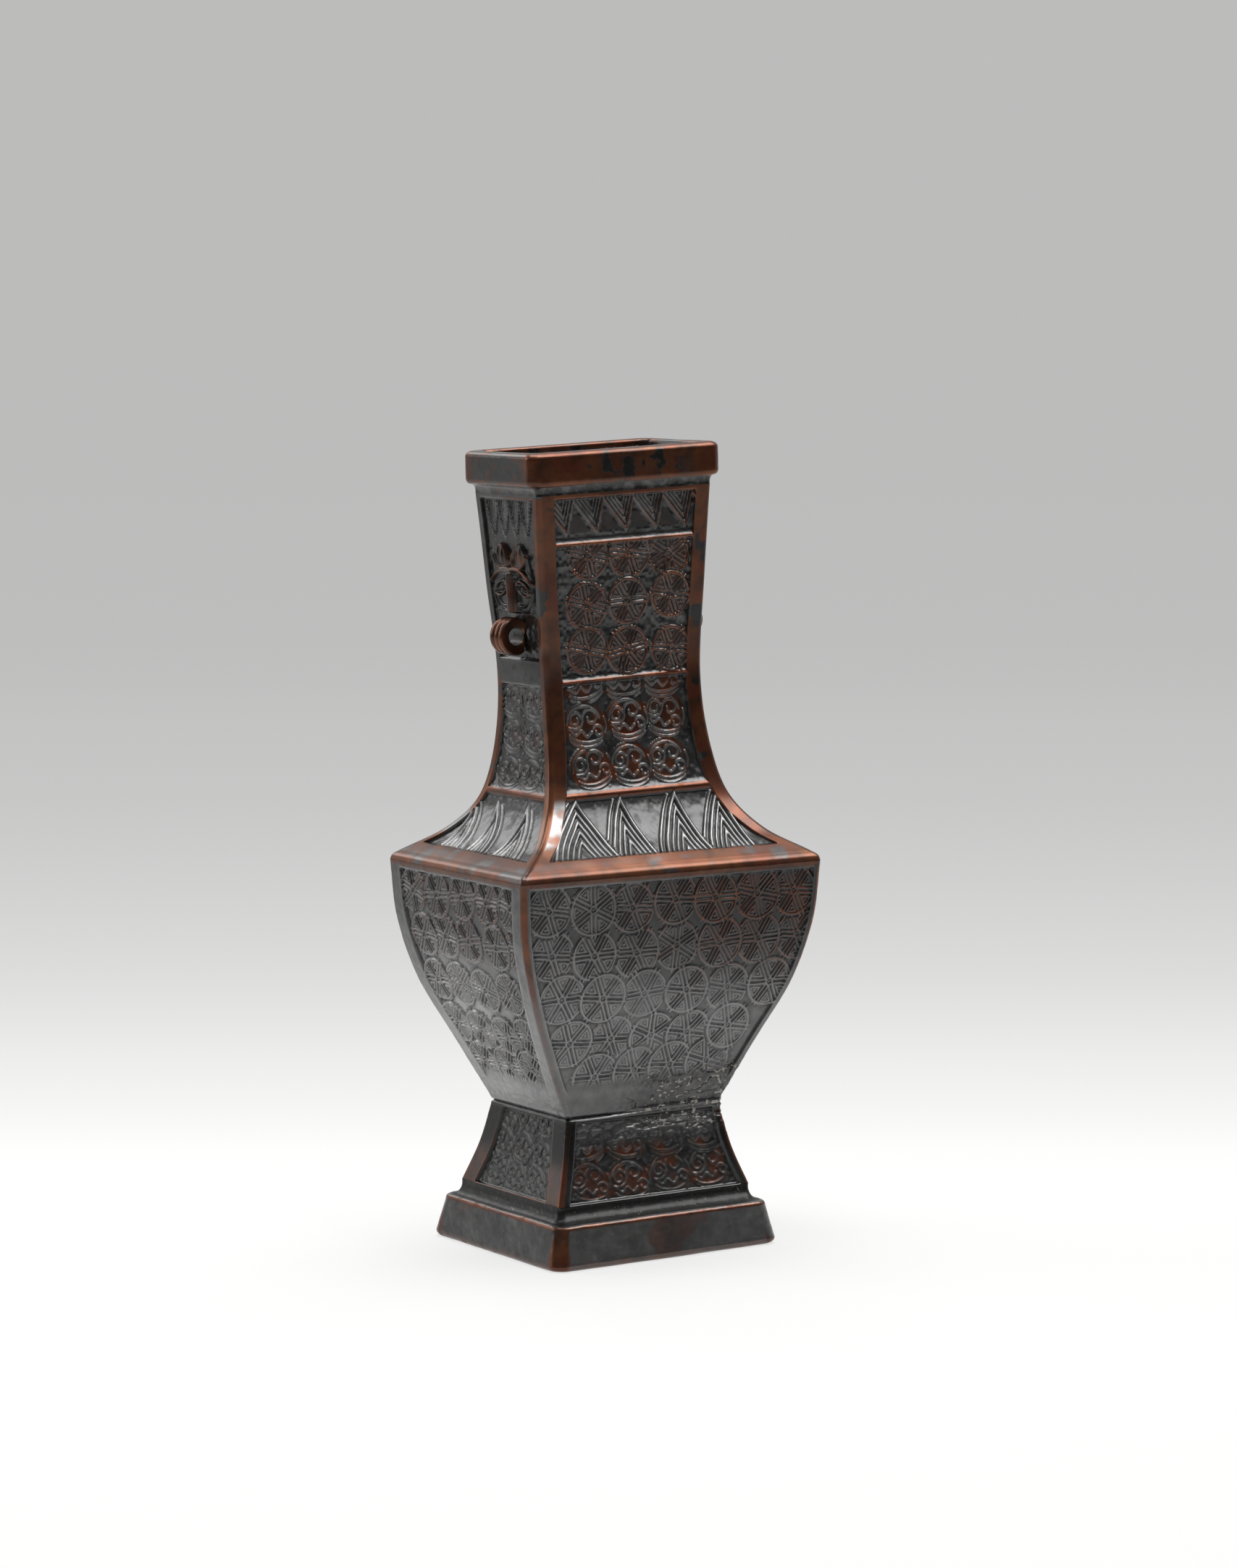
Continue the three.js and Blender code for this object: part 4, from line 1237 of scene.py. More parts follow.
def mouth_form(face):
    """Rim: rubbed copper with black patches in the middle of the wide faces, nearly black on the
    narrow ones, over a dusty cove. The inside is rough, with pale crust."""
    height = face.height
    wide = face.kind == 0
    lip_climb = climb_at(face_profile("body"), RIM_TOP - 0.1, face.kind)
    inner = smoothstep(face.climb - lip_climb, 2.5, 4.5)
    rubbed = spots(face, 2.8, 531, 0.38, 0.54)
    middle = bump((face.along - 2) / 21) if wide else bump(face.along / 15) * 1.5
    black = np.clip(middle * mix(1.2, 0.15 if wide else 1, rubbed), 0, 0.9)
    edge = np.maximum(smoothstep(height, 178.6, 179.8), smoothstep(height, 174.4, 173.2))
    copper = np.maximum(0.74 * (1 - black), 0.6 * edge * mix(1, 0.4, rubbed * middle))
    cove = smoothstep(height, 172.9, 172.1)
    copper = mix(copper, 0.12, cove) * (1 - 0.55 * inner)
    if not wide:
        copper = np.maximum(copper, 0.4 * spots(face, 1.7, 536, 0.5, 0.66))
    grey = mix(0.5, 0.1, black) if wide else 0.12
    grey = mix(grey, 0.1 + 0.35 * spots(face, 1.6, 535, 0.45, 0.7), cove) + 0.35 * inner
    crust = inner * spots(face, 2.2, 532, 0.35, 0.6)
    rough = inner * 0.5 * (mottle(face.point, 2.4, 533) - 0.5)
    rough = rough + mix(0.05, 0.16, cove) * (mottle(face.point, 1.8, 534) - 0.5)
    return rough, copper, grey, crust


def body_band(names, low, high, grid, strips, form):
    """Builds one zone of the vessel between two heights, as pieces stacked from the bottom up."""
    profile = face_profile("body")
    start, end = length_at(profile, low), length_at(profile, high)
    zone = ring_zone(profile, start, end, grid, strips, form)
    rows = len(zone.points)
    heights = np.interp(np.linspace(start, end, rows), profile.length, profile.points[:, 2])
    cuts = np.linspace(0, rows - 1, len(names) + 1).astype(int)
    for name, first, last in zip(names, cuts[:-1], cuts[1:]):
        bottom = max(heights[first], WAIST_HEIGHT + PLATE_THICKNESS + BODY_WALL)
        line = inner_wall(np.linspace(heights[last], bottom, INNER_ROWS))
        if first == 0 and low <= WAIST_HEIGHT:
            line = np.vstack([line, [*line[-1, :2], WAIST_HEIGHT]])
        part = SimpleNamespace(
            points=zone.points[first : last + 1],
            normals=zone.normals[first : last + 1],
            finish=zone.finish[first : last + 1],
            starts=zone.starts,
        )
        ring_piece(name, part, inner_rings(line, strips, grid), "vessel_body")


def material(name):
    """A finish made by this script, made once and then used again."""
    return bpy.data.materials.get(name) or BUILDERS[name](name)


def plug(tree, socket, value):
    """Links an input to another node's output, or sets its plain value."""
    if isinstance(value, bpy.types.NodeSocket):
        tree.links.new(value, socket)
    else:
        socket.default_value = value


def node(tree, kind, **values):
    """Adds a shader node and sets its properties and its inputs by name."""
    made = tree.nodes.new(kind)
    for key, value in values.items():
        if key in made.inputs:
            plug(tree, made.inputs[key], value)
        else:
            setattr(made, key, value)
    return made


def fresh_tree(owner, output_kind):
    """The emptied node tree of a material or world, and the input of its output node."""
    owner.use_nodes = True
    owner.node_tree.nodes.clear()
    return owner.node_tree, node(owner.node_tree, output_kind).inputs[0]


def noise(tree, place, scale, detail, roughness):
    """Noise texture on Object coordinates. At a scale of 1000 its lumps are about 1 mm apart."""
    values = {"Scale": scale, "Detail": detail, "Roughness": roughness}
    return node(tree, "ShaderNodeTexNoise", Vector=place, **values).outputs["Fac"]


def ramp(tree, value, low, high, from_value=0.0, to_value=1.0):
    """Maps a value smoothly from one range to another."""
    made = node(tree, "ShaderNodeMapRange", interpolation_type="SMOOTHSTEP")
    for socket, given in zip(made.inputs, (value, low, high, from_value, to_value)):
        plug(tree, socket, given)
    return made.outputs[0]


def blend_colour(tree, share, first, second):
    """Mixes two colours or sockets by a share."""
    made = node(tree, "ShaderNodeMix", data_type="RGBA", clamp_factor=True)
    for place, value in ((0, share), (6, first), (7, second)):
        plug(tree, made.inputs[place], value)
    return made.outputs[2]


def maths(tree, operation, *values):
    """Result of one Math node on sockets or numbers."""
    made = node(tree, "ShaderNodeMath", operation=operation)
    for socket, value in zip(made.inputs, values):
        plug(tree, socket, value)
    return made.outputs[0]


def swayed(tree, value, noise_value, strength):
    """A value plus the strength times how far a noise lies from its mean of 0.5."""
    off_mean = maths(tree, "SUBTRACT", noise_value, 0.5)
    return maths(tree, "MULTIPLY_ADD", off_mean, strength, value)


def opaque(colour):
    """A colour property as the four numbers of a socket."""
    return (*colour[:3], 1.0)


def bronze_material(name, copper_shift=0.0, rough_shift=0.0):
    """Waxed bronze: a dark lacquer-like patina between black and grey, worn through to copper,
    with fine grain, pits and pale crust. The finish attribute says where each one lies."""
    patina = bpy.context.scene.vase_patina
    made = bpy.data.materials.new(name)
    tree, surface = fresh_tree(made, "ShaderNodeOutputMaterial")
    place = node(tree, "ShaderNodeTexCoord").outputs["Object"]
    paint = node(tree, "ShaderNodeAttribute", attribute_name="finish").outputs["Color"]
    copper_at, grey_at, crust_at = node(tree, "ShaderNodeSeparateColor", Color=paint).outputs
    fine = noise(tree, place, 1100, 3, 0.65)
    middle = noise(tree, place, 330, 4, 0.6)
    smooth = noise(tree, place, 240, 1.5, 0.5)
    broad = noise(tree, place, 90, 3, 0.55)
    speckle = noise(tree, place, 2600, 2, 0.7)
    worn = swayed(tree, swayed(tree, copper_at, middle, 0.4), fine, 0.12)
    worn = ramp(tree, maths(tree, "ADD", worn, copper_shift), 0.18, 0.72)
    greyed = ramp(tree, swayed(tree, grey_at, middle, 0.5), 0.0, GREY_LIMIT)
    dark = blend_colour(tree, greyed, opaque(patina.black), opaque(patina.grey))
    red = ramp(tree, broad, 0.42, 0.62)
    copper = blend_colour(tree, red, opaque(patina.copper), opaque(patina.red_copper))
    copper = blend_colour(tree, ramp(tree, smooth, 0.4, 0.8), copper, opaque(patina.brown))
    crusted = ramp(tree, swayed(tree, crust_at, fine, 1.6), 0.5, 0.85)
    base = blend_colour(tree, worn, dark, copper)
    base = blend_colour(tree, crusted, base, opaque(patina.chalk))
    metal = maths(tree, "MULTIPLY_ADD", worn, 0.1, 0.72)
    metal = maths(tree, "MULTIPLY", metal, maths(tree, "SUBTRACT", 1.0, crusted))
    rough = maths(tree, "MULTIPLY_ADD", fine, 0.12, 0.27 + rough_shift)
    rough = maths(tree, "MULTIPLY_ADD", crust_at, 0.25, rough)
    coat = maths(tree, "MULTIPLY_ADD", worn, -0.32, 0.6)
    coat = maths(tree, "MAXIMUM", maths(tree, "MULTIPLY_ADD", crust_at, -1.6, coat), 0.0)
    height = maths(tree, "MULTIPLY_ADD", middle, 0.7, maths(tree, "MULTIPLY", fine, 0.4))
    height = maths(tree, "MULTIPLY_ADD", ramp(tree, speckle, 0.62, 0.75), -0.25, height)
    strength = maths(tree, "MULTIPLY_ADD", worn, -0.42, 0.47)
    pits = node(tree, "ShaderNodeBump", Strength=strength, Distance=0.00016, Height=height)
    values = {
        "Base Color": base,
        "Metallic": metal,
        "Roughness": rough,
        "Specular IOR Level": 0.3,
        "Coat Weight": coat,
        "Coat Roughness": 0.16,
        "Normal": pits.outputs[0],
    }
    plug(tree, surface, node(tree, "ShaderNodeBsdfPrincipled", **values).outputs[0])
    return made


def raw_material(name):
    """Unfinished bronze inside the vase and under the foot: brown, dull and rough."""
    patina = bpy.context.scene.vase_patina
    made = bpy.data.materials.new(name)
    tree, surface = fresh_tree(made, "ShaderNodeOutputMaterial")
    place = node(tree, "ShaderNodeTexCoord").outputs["Object"]
    fine = noise(tree, place, 900, 4, 0.65)
    broad = noise(tree, place, 120, 4, 0.6)
    brown = ramp(tree, broad, 0.35, 0.65)
    base = blend_colour(tree, brown, opaque(patina.black), opaque(patina.brown))
    base = blend_colour(tree, ramp(tree, fine, 0.6, 0.75), base, opaque(patina.grey))
    height = maths(tree, "MULTIPLY_ADD", broad, 1.0, fine)
    pits = node(tree, "ShaderNodeBump", Strength=0.6, Distance=0.0003, Height=height)
    values = {
        "Base Color": base,
        "Metallic": 0.35,
        "Roughness": maths(tree, "MULTIPLY_ADD", fine, 0.25, 0.5),
        "Normal": pits.outputs[0],
    }
    plug(tree, surface, node(tree, "ShaderNodeBsdfPrincipled", **values).outputs[0])
    return made


BUILDERS = {
    "waxed_patina": bronze_material,
    "rubbed_patina": lambda name: bronze_material(name, 0.12, -0.04),
    "rough_bronze": raw_material,
}


def relief_map(rows, columns, quads, rim_count):
    """Place on the map of each corner of a closed relief: the front on the left, the back drawn
    smaller at the lower right, and the rim as a strip above it."""
    across = np.linspace(0.01, 0.64, columns)[None, :] + np.zeros((rows, 1))
    up = np.linspace(0.01, 0.99, rows)[:, None] + np.zeros((1, columns))
    front = np.stack([across, up], axis=-1).reshape(-1, 2)
    back = np.stack([0.67 + across * 0.32, up * 0.6], axis=-1).reshape(-1, 2)
    uv = np.concatenate([front, back])[quads]
    run = np.linspace(0.67, 0.99, rim_count + 1)
    strip = np.stack([run, np.full(rim_count + 1, 0.7)], axis=-1)
    raised = strip + [0, 0.04]
    uv[-rim_count:] = np.stack([strip[:-1], strip[1:], raised[1:], raised[:-1]], axis=1)
    return uv


def closed_grid(name, front, back, finish, materials):
    """Closes a relief: a front and a back grid with the same rows and columns, joined along
    their four edges. The front's normals are smooth and the edges are hard."""
    rows, columns = front.shape[:2]
    count = rows * columns
    place = np.arange(count).reshape(rows, columns)
    faces = np.stack([place[:-1, :-1], place[:-1, 1:], place[1:, 1:], place[1:, :-1]], axis=-1)
    faces = faces.reshape(-1, 4)
    edges = [place[0, :-1], place[:-1, -1], place[-1, :0:-1], place[:0:-1, 0]]
    around = np.concatenate(edges)
    onward = np.roll(around, -1)
    rim = np.stack([around + count, onward + count, onward, around], axis=-1)
    quads = np.concatenate([faces, faces[:, ::-1] + count, rim])
    points = np.concatenate([front.reshape(-1, 3), back.reshape(-1, 3)])
    corners = points[quads]
    flat = unit(np.cross(corners[:, 2] - corners[:, 0], corners[:, 3] - corners[:, 1]))
    normals = np.repeat(flat[:, None, :], 4, axis=1)
    normals[: len(faces)] = grid_normals(front, False).reshape(-1, 3)[faces]
    uv = relief_map(rows, columns, quads, len(rim))
    painted = np.ones((2 * count, 4))
    painted[:count, :3] = finish.reshape(-1, 3)
    painted[count:, :3] = 0.3
    index = np.zeros(len(quads))
    return mesh_object(name, points * MM, quads, normals, painted, uv, materials, index)


def side_face(low, high):
    """Sunk narrow face of the neck between two heights, taken as flat: its distance from the
    middle at the lower height, and how far it moves out for each millimetre of climb."""
    parameters = np.linspace(0, 1, 4001)
    point = curve_points(NECK_STATIONS, parameters)
    slope = np.gradient(point, axis=0)
    out = slope[:, 2] / np.hypot(slope[:, 0], slope[:, 2])
    distance = point[:, 0] - PANEL_DEPTH * out
    start, end = np.interp([low, high], point[:, 2], distance)
    return SimpleNamespace(start=start, slope=(end - start) / (high - low), low=low)


def oval_place(across, height, middle, half, slant=0.0):
    """Place within an oval: 0 at its middle and 1 on its outline."""
    rise = height - middle[1] + slant * (across - middle[0])
    return np.hypot((across - middle[0]) / half[0], rise / half[1])


def mask_relief(across, height):
    """Relief of the mask over its base: leaf-shaped horns with veins that meet in a notch, a
    brow that spreads like wings, slanted eyes, long cheek lines and a nose that runs down to
    the lug."""
    side = np.abs(across)
    leaf = oval_place(side, height, (3.8, 157.2), (3.4, 3.6), -0.35)
    body = 0.7 * np.sqrt(bump(leaf / 1.02))
    outline = 1.1 * bump((leaf - 0.8) / 0.26)
    veins = np.maximum.reduce([bump((side - place) / 0.45) for place in (2.9, 4.5)])
    horn = np.maximum(outline, body + 0.4 * veins * bump(leaf / 0.85))
    brow_line = 153.8 + 0.35 * side - 0.085 * side**2
    brow = 1.3 * bump((height - brow_line) / mix(1.4, 0.6, smoothstep(side, 1, 6)))
    curl_place = oval_place(side, height, (2.1, 152.2), (1.5, 1.5))
    curl = 0.55 * bump((curl_place - 0.7) / 0.34)
    eye_place = oval_place(side, height, (4.3, 149.9), (2.9, 1.7), 0.3)
    eye = np.maximum(0.9 * bump((eye_place - 0.85) / 0.28), 0.8 * bump(eye_place / 0.5))
    cheek_place = oval_place(side, height, (3.4, 150.0), (3.3, 4.0))
    cheeks = np.maximum.reduce([bump((cheek_place - level) / 0.13) for level in (1.0, 1.35, 1.7)])
    cheeks = 0.6 * cheeks * smoothstep(149.5 - height, -0.8, 0.8)
    below = smoothstep(154.2 - height, 0, 1.2)
    nose = 2.1 * below * np.sqrt(bump(side / mix(1.9, 1.4, smoothstep(height, 146, 152))))
    groove = 0.25 * bump((side - 1.2) / 0.3) * below
    return np.maximum.reduce([horn, brow, curl, eye, cheeks, nose - groove])


def mask_piece(side):
    """One mask: a relief front over a flat back just clear of the neck's sunk narrow face. Its
    sides draw in towards top and bottom, and its upper edge has a notch."""
    face = side_face(MASK_BOTTOM, MASK_BOTTOM + MASK_HEIGHT)
    across_share = np.linspace(-1, 1, MASK_COLUMNS)[None, :]
    up_share = np.linspace(0, 1, MASK_ROWS)[:, None]
    half = MASK_HALF_WIDTH * (1 - MASK_NARROWING * (1 - np.sin(up_share * math.pi)))
    crest = np.sin(np.abs(across_share) * math.pi) ** 2
    across = across_share * half
    height = MASK_BOTTOM + up_share * (MASK_HEIGHT - MASK_NOTCH * (1 - crest))
    relief = mask_relief(across, height)
    border = np.minimum(1 - np.abs(across_share), np.minimum(up_share, 1 - up_share) * 2)
    fade = smoothstep(border, 0, 0.1)
    back = face.start + face.slope * (height - face.low) - MASK_EDGE_DROP
    outward = back + fade * (MASK_EDGE_DROP + MASK_BASE + MASK_RELIEF_SCALE * relief)
    front = np.stack([-outward, -across, height], axis=-1)
    behind = np.stack([MASK_CLEARANCE - back + 0 * across, -across, height], axis=-1)
    front[..., 0] -= 0.07 * (grain(front, 1.8, 601) - 0.5) * fade
    raised = smoothstep(relief, 0.25, 0.9)
    copper = mix(0.05, 0.56, raised) * mix(0.4, 1.3, mottle(front, 3, 602))
    finish = np.stack([copper, 0.05 + 0.4 * mottle(front, 2.5, 603), 0.1 + 0 * copper], axis=-1)
    finish = np.clip(finish, 0, 1)
    if side == "right":
        front[..., :2] *= -1
        behind[..., :2] *= -1
    materials = [material("waxed_patina")]
    piece = closed_grid(f"{side}_mask", lean(front), lean(behind), finish, materials)
    fit(piece, [f"mask_{side}"])


def creased_normals(points, quads):
    """A normal for each corner of each face: the mean of the faces that meet there where it lies
    near the face's own normal, and the face's own at a crease."""
    corners = points[quads]
    own = np.cross(corners[:, 2] - corners[:, 0], corners[:, 3] - corners[:, 1])
    summed = np.zeros_like(points)
    for corner in range(4):
        np.add.at(summed, quads[:, corner], own)
    smooth = unit(summed)[quads]
    own = unit(own)[:, None, :]
    near = (smooth * own).sum(axis=-1, keepdims=True) > 0.75
    return np.where(near, smooth, own)


def lug_finish(points, radius):
    """Finish of a lug: ridges and ends rubbed to copper, and a dull bore with a grey lip."""
    column = np.arange(points.shape[1])
    ridge_share = smoothstep(radius, LUG_RADIUS - 0.36, LUG_RADIUS - 0.08)
    hole = smoothstep(radius, LUG_HOLE_RADIUS + 0.6, LUG_HOLE_RADIUS)
    end = np.isin(column, (0, LUG_OUTER_COLUMNS - 1))
    lip = np.isin(column, (LUG_OUTER_COLUMNS, len(column) - 1))
    copper = mix(0.1, mix(0.5, 0.85, mottle(points, 2.5, 612)), ridge_share)
    copper = np.maximum(copper, 0.55 * end + 0.35 * lip)
    grey = 0.25 * (1 - hole) + 0.4 * lip
    crust = 0.1 + 0.22 * hole * (1 - lip)
    return np.stack([copper, grey, crust, np.ones_like(copper)], axis=-1)


def lug_piece(side):
    """One lug: a tube across the narrow face with three rounded ridges. Each ring of its section
    goes round the tube's wall, and the side towards the neck is cut off by a plane."""
    face = side_face(LUG_HEIGHT - LUG_RADIUS, LUG_HEIGHT + LUG_RADIUS)
    wall = face.start + face.slope * LUG_RADIUS
    turn = np.linspace(0, 2 * math.pi, LUG_ROWS, endpoint=False)[:, None]
    outer_share = np.linspace(0, 1, LUG_OUTER_COLUMNS)[None, :]
    crest = np.abs(np.sin(outer_share * math.pi * LUG_RIDGES))
    outer_radius = LUG_RADIUS - LUG_GROOVE * (1 - np.sqrt(crest))
    hole_share = np.linspace(1, 0, LUG_HOLE_COLUMNS)[None, 1:-1]
    radius = np.concatenate([outer_radius, LUG_HOLE_RADIUS + 0 * hole_share], axis=1)
    across = np.concatenate([outer_share, hole_share], axis=1) * LUG_WIDTH - LUG_WIDTH / 2
    toward = -np.cos(turn - math.atan(face.slope))
    reach = (LUG_STANDOFF - FIT_CLEARANCE) / np.maximum(toward, 1e-6)
    radius = np.minimum(radius, np.maximum(reach, LUG_HOLE_RADIUS))
    x = -wall - LUG_STANDOFF - radius * np.cos(turn)
    z = LUG_HEIGHT + radius * np.sin(turn)
    points = np.stack([x, across + 0 * x, z], axis=-1)
    points = points + 0.08 * (grain(points, 2.4, 611) - 0.5)[..., None] * [1, 0.3, 1]
    if side == "right":
        points[..., :2] *= -1
    points = lean(points)
    rows, columns = radius.shape
    quads = ring_quads(rows, columns)[..., [0, 3, 2, 1]].reshape(-1, 4)
    run = np.linspace(0.01, 0.99, columns + 1)
    climb = np.linspace(0.01, 0.99, rows + 1)
    place = np.stack(np.meshgrid(run, climb), axis=-1)
    uv = np.stack([place[:-1, :-1], place[1:, :-1], place[1:, 1:], place[:-1, 1:]], axis=2)
    flat = points.reshape(-1, 3)
    piece = mesh_object(
        f"{side}_lug",
        flat * MM,
        quads,
        creased_normals(flat, quads),
        lug_finish(points, radius),
        uv,
        [material("rubbed_patina")],
        np.zeros(len(quads)),
    )
    fit(piece, [f"lug_{side}"])


class VaseRelief(bpy.types.PropertyGroup):
    """Sizes of the cast and stamped relief."""

    line_height: bpy.props.FloatProperty(
        name="Line height",
        description="How far the stamped lines of the neck, shoulder and foot stand out",
        default=0.44 * MM,
        min=0,
        unit="LENGTH",
    )
    wheel_height: bpy.props.FloatProperty(
        name="Wheel line height",
        description="How far the lines of the wheels on the belly stand out",
        default=0.4 * MM,
        min=0,
        unit="LENGTH",
    )
    line_width: bpy.props.FloatProperty(
        name="Line half width",
        description="Half the width of a stamped line at its base",
        default=0.34 * MM,
        min=0.1 * MM,
        unit="LENGTH",
    )
    unevenness: bpy.props.FloatProperty(
        name="Unevenness",
        description="Depth of the slow waves in the plain surfaces",
        default=0.12 * MM,
        min=0,
        unit="LENGTH",
    )


class VasePatina(bpy.types.PropertyGroup):
    """Colours of the patina, from black to grey, and of the bronze that shows through it."""

    black: bpy.props.FloatVectorProperty(
        name="Black patina",
        description="Darkest patina, in the hollows and on the plinth",
        default=(0.010, 0.0098, 0.0095),
        size=3,
        min=0,
        max=1,
        subtype="COLOR",
    )
    # Grey patina: also the colour of the sheen painted on the fillets, the front shoulder strip and
    # the narrow belly faces.
    grey: bpy.props.FloatVectorProperty(
        name="Grey patina",
        description="Lighter, dusty patina of the belly and the fillets",
        default=(0.27, 0.268, 0.267),
        size=3,
        min=0,
        max=1,
        subtype="COLOR",
    )
    copper: bpy.props.FloatVectorProperty(
        name="Rubbed bronze",
        description="Bronze rubbed bare on the edges and ridges",
        default=(0.128, 0.045, 0.019),
        size=3,
        min=0,
        max=1,
        subtype="COLOR",
    )
    red_copper: bpy.props.FloatVectorProperty(
        name="Red bronze",
        description="Redder parts of the rubbed bronze",
        default=(0.105, 0.031, 0.015),
        size=3,
        min=0,
        max=1,
        subtype="COLOR",
    )
    brown: bpy.props.FloatVectorProperty(
        name="Brown bronze",
        description="Duller brown between patina and rubbed bronze",
        default=(0.055, 0.025, 0.015),
        size=3,
        min=0,
        max=1,
        subtype="COLOR",
    )
    chalk: bpy.props.FloatVectorProperty(
        name="Pale crust",
        description="Pale deposit in the corroded joint and inside the rim",
        default=(0.42, 0.39, 0.35),
        size=3,
        min=0,
        max=1,
        subtype="COLOR",
    )


class VaseStudio(bpy.types.PropertyGroup):
    """Lights, floor and camera."""

    top_light: bpy.props.FloatProperty(
        name="Top light",
        description="Power of the large soft light overhead",
        default=22.0,
        min=0,
        unit="POWER",
    )
    side_light: bpy.props.FloatProperty(
        name="Left light",
        description="Power of the soft light on the left",
        default=6.0,
        min=0,
        unit="POWER",
    )
    box_light: bpy.props.FloatProperty(
        name="Soft boxes",
        description="Brightness of the two soft boxes that the bronze reflects",
        default=7.0,
        min=0,
    )
    floor_radius: bpy.props.FloatProperty(
        name="Floor radius",
        description="Radius of the round floor",
        default=12.0,
        min=1,
        unit="LENGTH",
    )
    floor_lit: bpy.props.FloatProperty(
        name="Lit share",
        description="Share of the floor's colour that the lamps light, and that holds the shadow",
        default=0.3,
        min=0,
        max=1,
    )
    floor_light: bpy.props.FloatProperty(
        name="Light on the floor",
        description="Brightness that the lamps give a white floor near the vase",
        default=1.03,
        min=0,
    )
    ambient: bpy.props.FloatProperty(
        name="Ambient light",
        description="Strength of the even light from all round",
        default=0.22,
        min=0,
    )
    lens: bpy.props.FloatProperty(
        name="Focal length",
        description="Focal length for a 36 mm tall frame, in millimetres",
        default=104.716,
        min=10,
    )


class VASE_OT_mouth(bpy.types.Operator):
    """Makes the rim and the upper inside of the mouth as one closed piece"""

    bl_idname = "vase.mouth"
    bl_label = "Mouth"

    def execute(self, context):
        profile = face_profile("body")
        low, high = length_at(profile, NECK_TOP), profile.length[-1]
        zone = ring_zone(profile, low, high, MOUTH_GRID, MOUTH_STRIP, mouth_form)
        ring_piece("mouth_rim", zone, zone.points[:0], "vessel_body")
        return {"FINISHED"}


class VASE_OT_neck(bpy.types.Operator):
    """Makes the three decorated zones of the neck"""

    bl_idname = "vase.neck"
    bl_label = "Neck"

    def execute(self, context):
        zones = [
            ("neck_blades", RIB_TOP, NECK_TOP, NECK_BLADES_GRID, neck_blades_form),
            ("neck_wheels", RIB_MIDDLE, RIB_TOP, NECK_WHEELS_GRID, neck_wheels_form),
            ("neck_roundels", RIB_SHOULDER, RIB_MIDDLE, NECK_ROUNDELS_GRID, neck_roundels_form),
        ]
        for name, low, high, grid, form in zones:
            body_band([name], low, high, grid, NECK_STRIP, form)
        return {"FINISHED"}


class VASE_OT_shoulder(bpy.types.Operator):
    """Makes the sloping shoulder with its rising blades"""

    bl_idname = "vase.shoulder"
    bl_label = "Shoulder"

    def execute(self, context):
        names = ["shoulder"]
        body_band(
            names, SHOULDER_HEIGHT, RIB_SHOULDER, SHOULDER_GRID, NECK_STRIP, shoulder_form
        )
        return {"FINISHED"}


class VASE_OT_belly(bpy.types.Operator):
    """Makes the belly with its rows of stamped wheels, as three stacked rings"""

    bl_idname = "vase.belly"
    bl_label = "Belly"

    def execute(self, context):
        names = ["belly_lower", "belly_middle", "belly_upper"]
        body_band(names, WAIST_HEIGHT, SHOULDER_HEIGHT, BELLY_GRID, BELLY_STRIP, belly_form)
        return {"FINISHED"}


class VASE_OT_foot(bpy.types.Operator):
    """Makes the flared foot and the plinth under it"""

    bl_idname = "vase.foot"
    bl_label = "Foot"

    def execute(self, context):
        profile = face_profile("foot")
        split = length_at(profile, FOOT_PANEL_BOTTOM)
        zone = ring_zone(profile, split, profile.length[-1], FOOT_GRID, FOOT_STRIP, foot_form)
        ledge = WAIST_HALF - BODY_WALL - PLATE_LEDGE
        ledge_rows = [[*ledge, WAIST_HEIGHT], [*ledge, WAIST_HEIGHT - FOOT_TOP_THICKNESS]]
        line = inner_foot(np.linspace(FOOT_INNER_TOP, FOOT_PANEL_BOTTOM, 6))
        inner = inner_rings(np.vstack([ledge_rows, line]), FOOT_STRIP, FOOT_GRID)
        ring_piece("foot_flare", zone, inner, "foot")
        zone = ring_zone(profile, 0, split, PLINTH_GRID, PLINTH_STRIP, plinth_form)
        line = inner_foot(np.linspace(FOOT_PANEL_BOTTOM, PLINTH_HEIGHT - FOOT_WALL / 2, 5))
        line = np.vstack([line, [*line[-1, :2], 0]])
        ring_piece("foot_plinth", zone, inner_rings(line, PLINTH_STRIP, PLINTH_GRID), "foot")
        return {"FINISHED"}


class VASE_OT_masks(bpy.types.Operator):
    """Makes the mask on each narrow side of the neck"""

    bl_idname = "vase.masks"
    bl_label = "Masks"

    def execute(self, context):
        mask_piece("left")
        mask_piece("right")
        return {"FINISHED"}


class VASE_OT_lugs(bpy.types.Operator):
    """Makes the ridged lug under each mask"""

    bl_idname = "vase.lugs"
    bl_label = "Lugs"

    def execute(self, context):
        lug_piece("left")
        lug_piece("right")
        return {"FINISHED"}


class VASE_OT_floor_plate(bpy.types.Operator):
    """Gives the floor plate inside the vase its rough bronze"""

    bl_idname = "vase.floor_plate"
    bl_label = "Floor plate"

    def execute(self, context):
        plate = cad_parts["floor_plate"]
        plate.data.materials.clear()
        plate.data.materials.append(material("rough_bronze"))
        return {"FINISHED"}


def seen_by_ray(tree, plain, seen, surface):
    """Puts the seen shader where the camera, metal and glass look, and the plain one elsewhere."""
    path = node(tree, "ShaderNodeLightPath").outputs
    share = maths(tree, "MAXIMUM", path["Is Camera Ray"], path["Is Glossy Ray"])
    share = maths(tree, "MAXIMUM", share, path["Is Transmission Ray"])
    choice = node(tree, "ShaderNodeMixShader")
    for socket, value in zip(choice.inputs, (share, plain.outputs[0], seen.outputs[0])):
        plug(tree, socket, value)
    plug(tree, surface, choice.outputs[0])


def along(tree, place, direction):
    """How far a place lies along a direction."""
    made = node(tree, "ShaderNodeVectorMath", operation="DOT_PRODUCT")
    plug(tree, made.inputs[0], place)
    plug(tree, made.inputs[1], direction)
    return made.outputs["Value"]


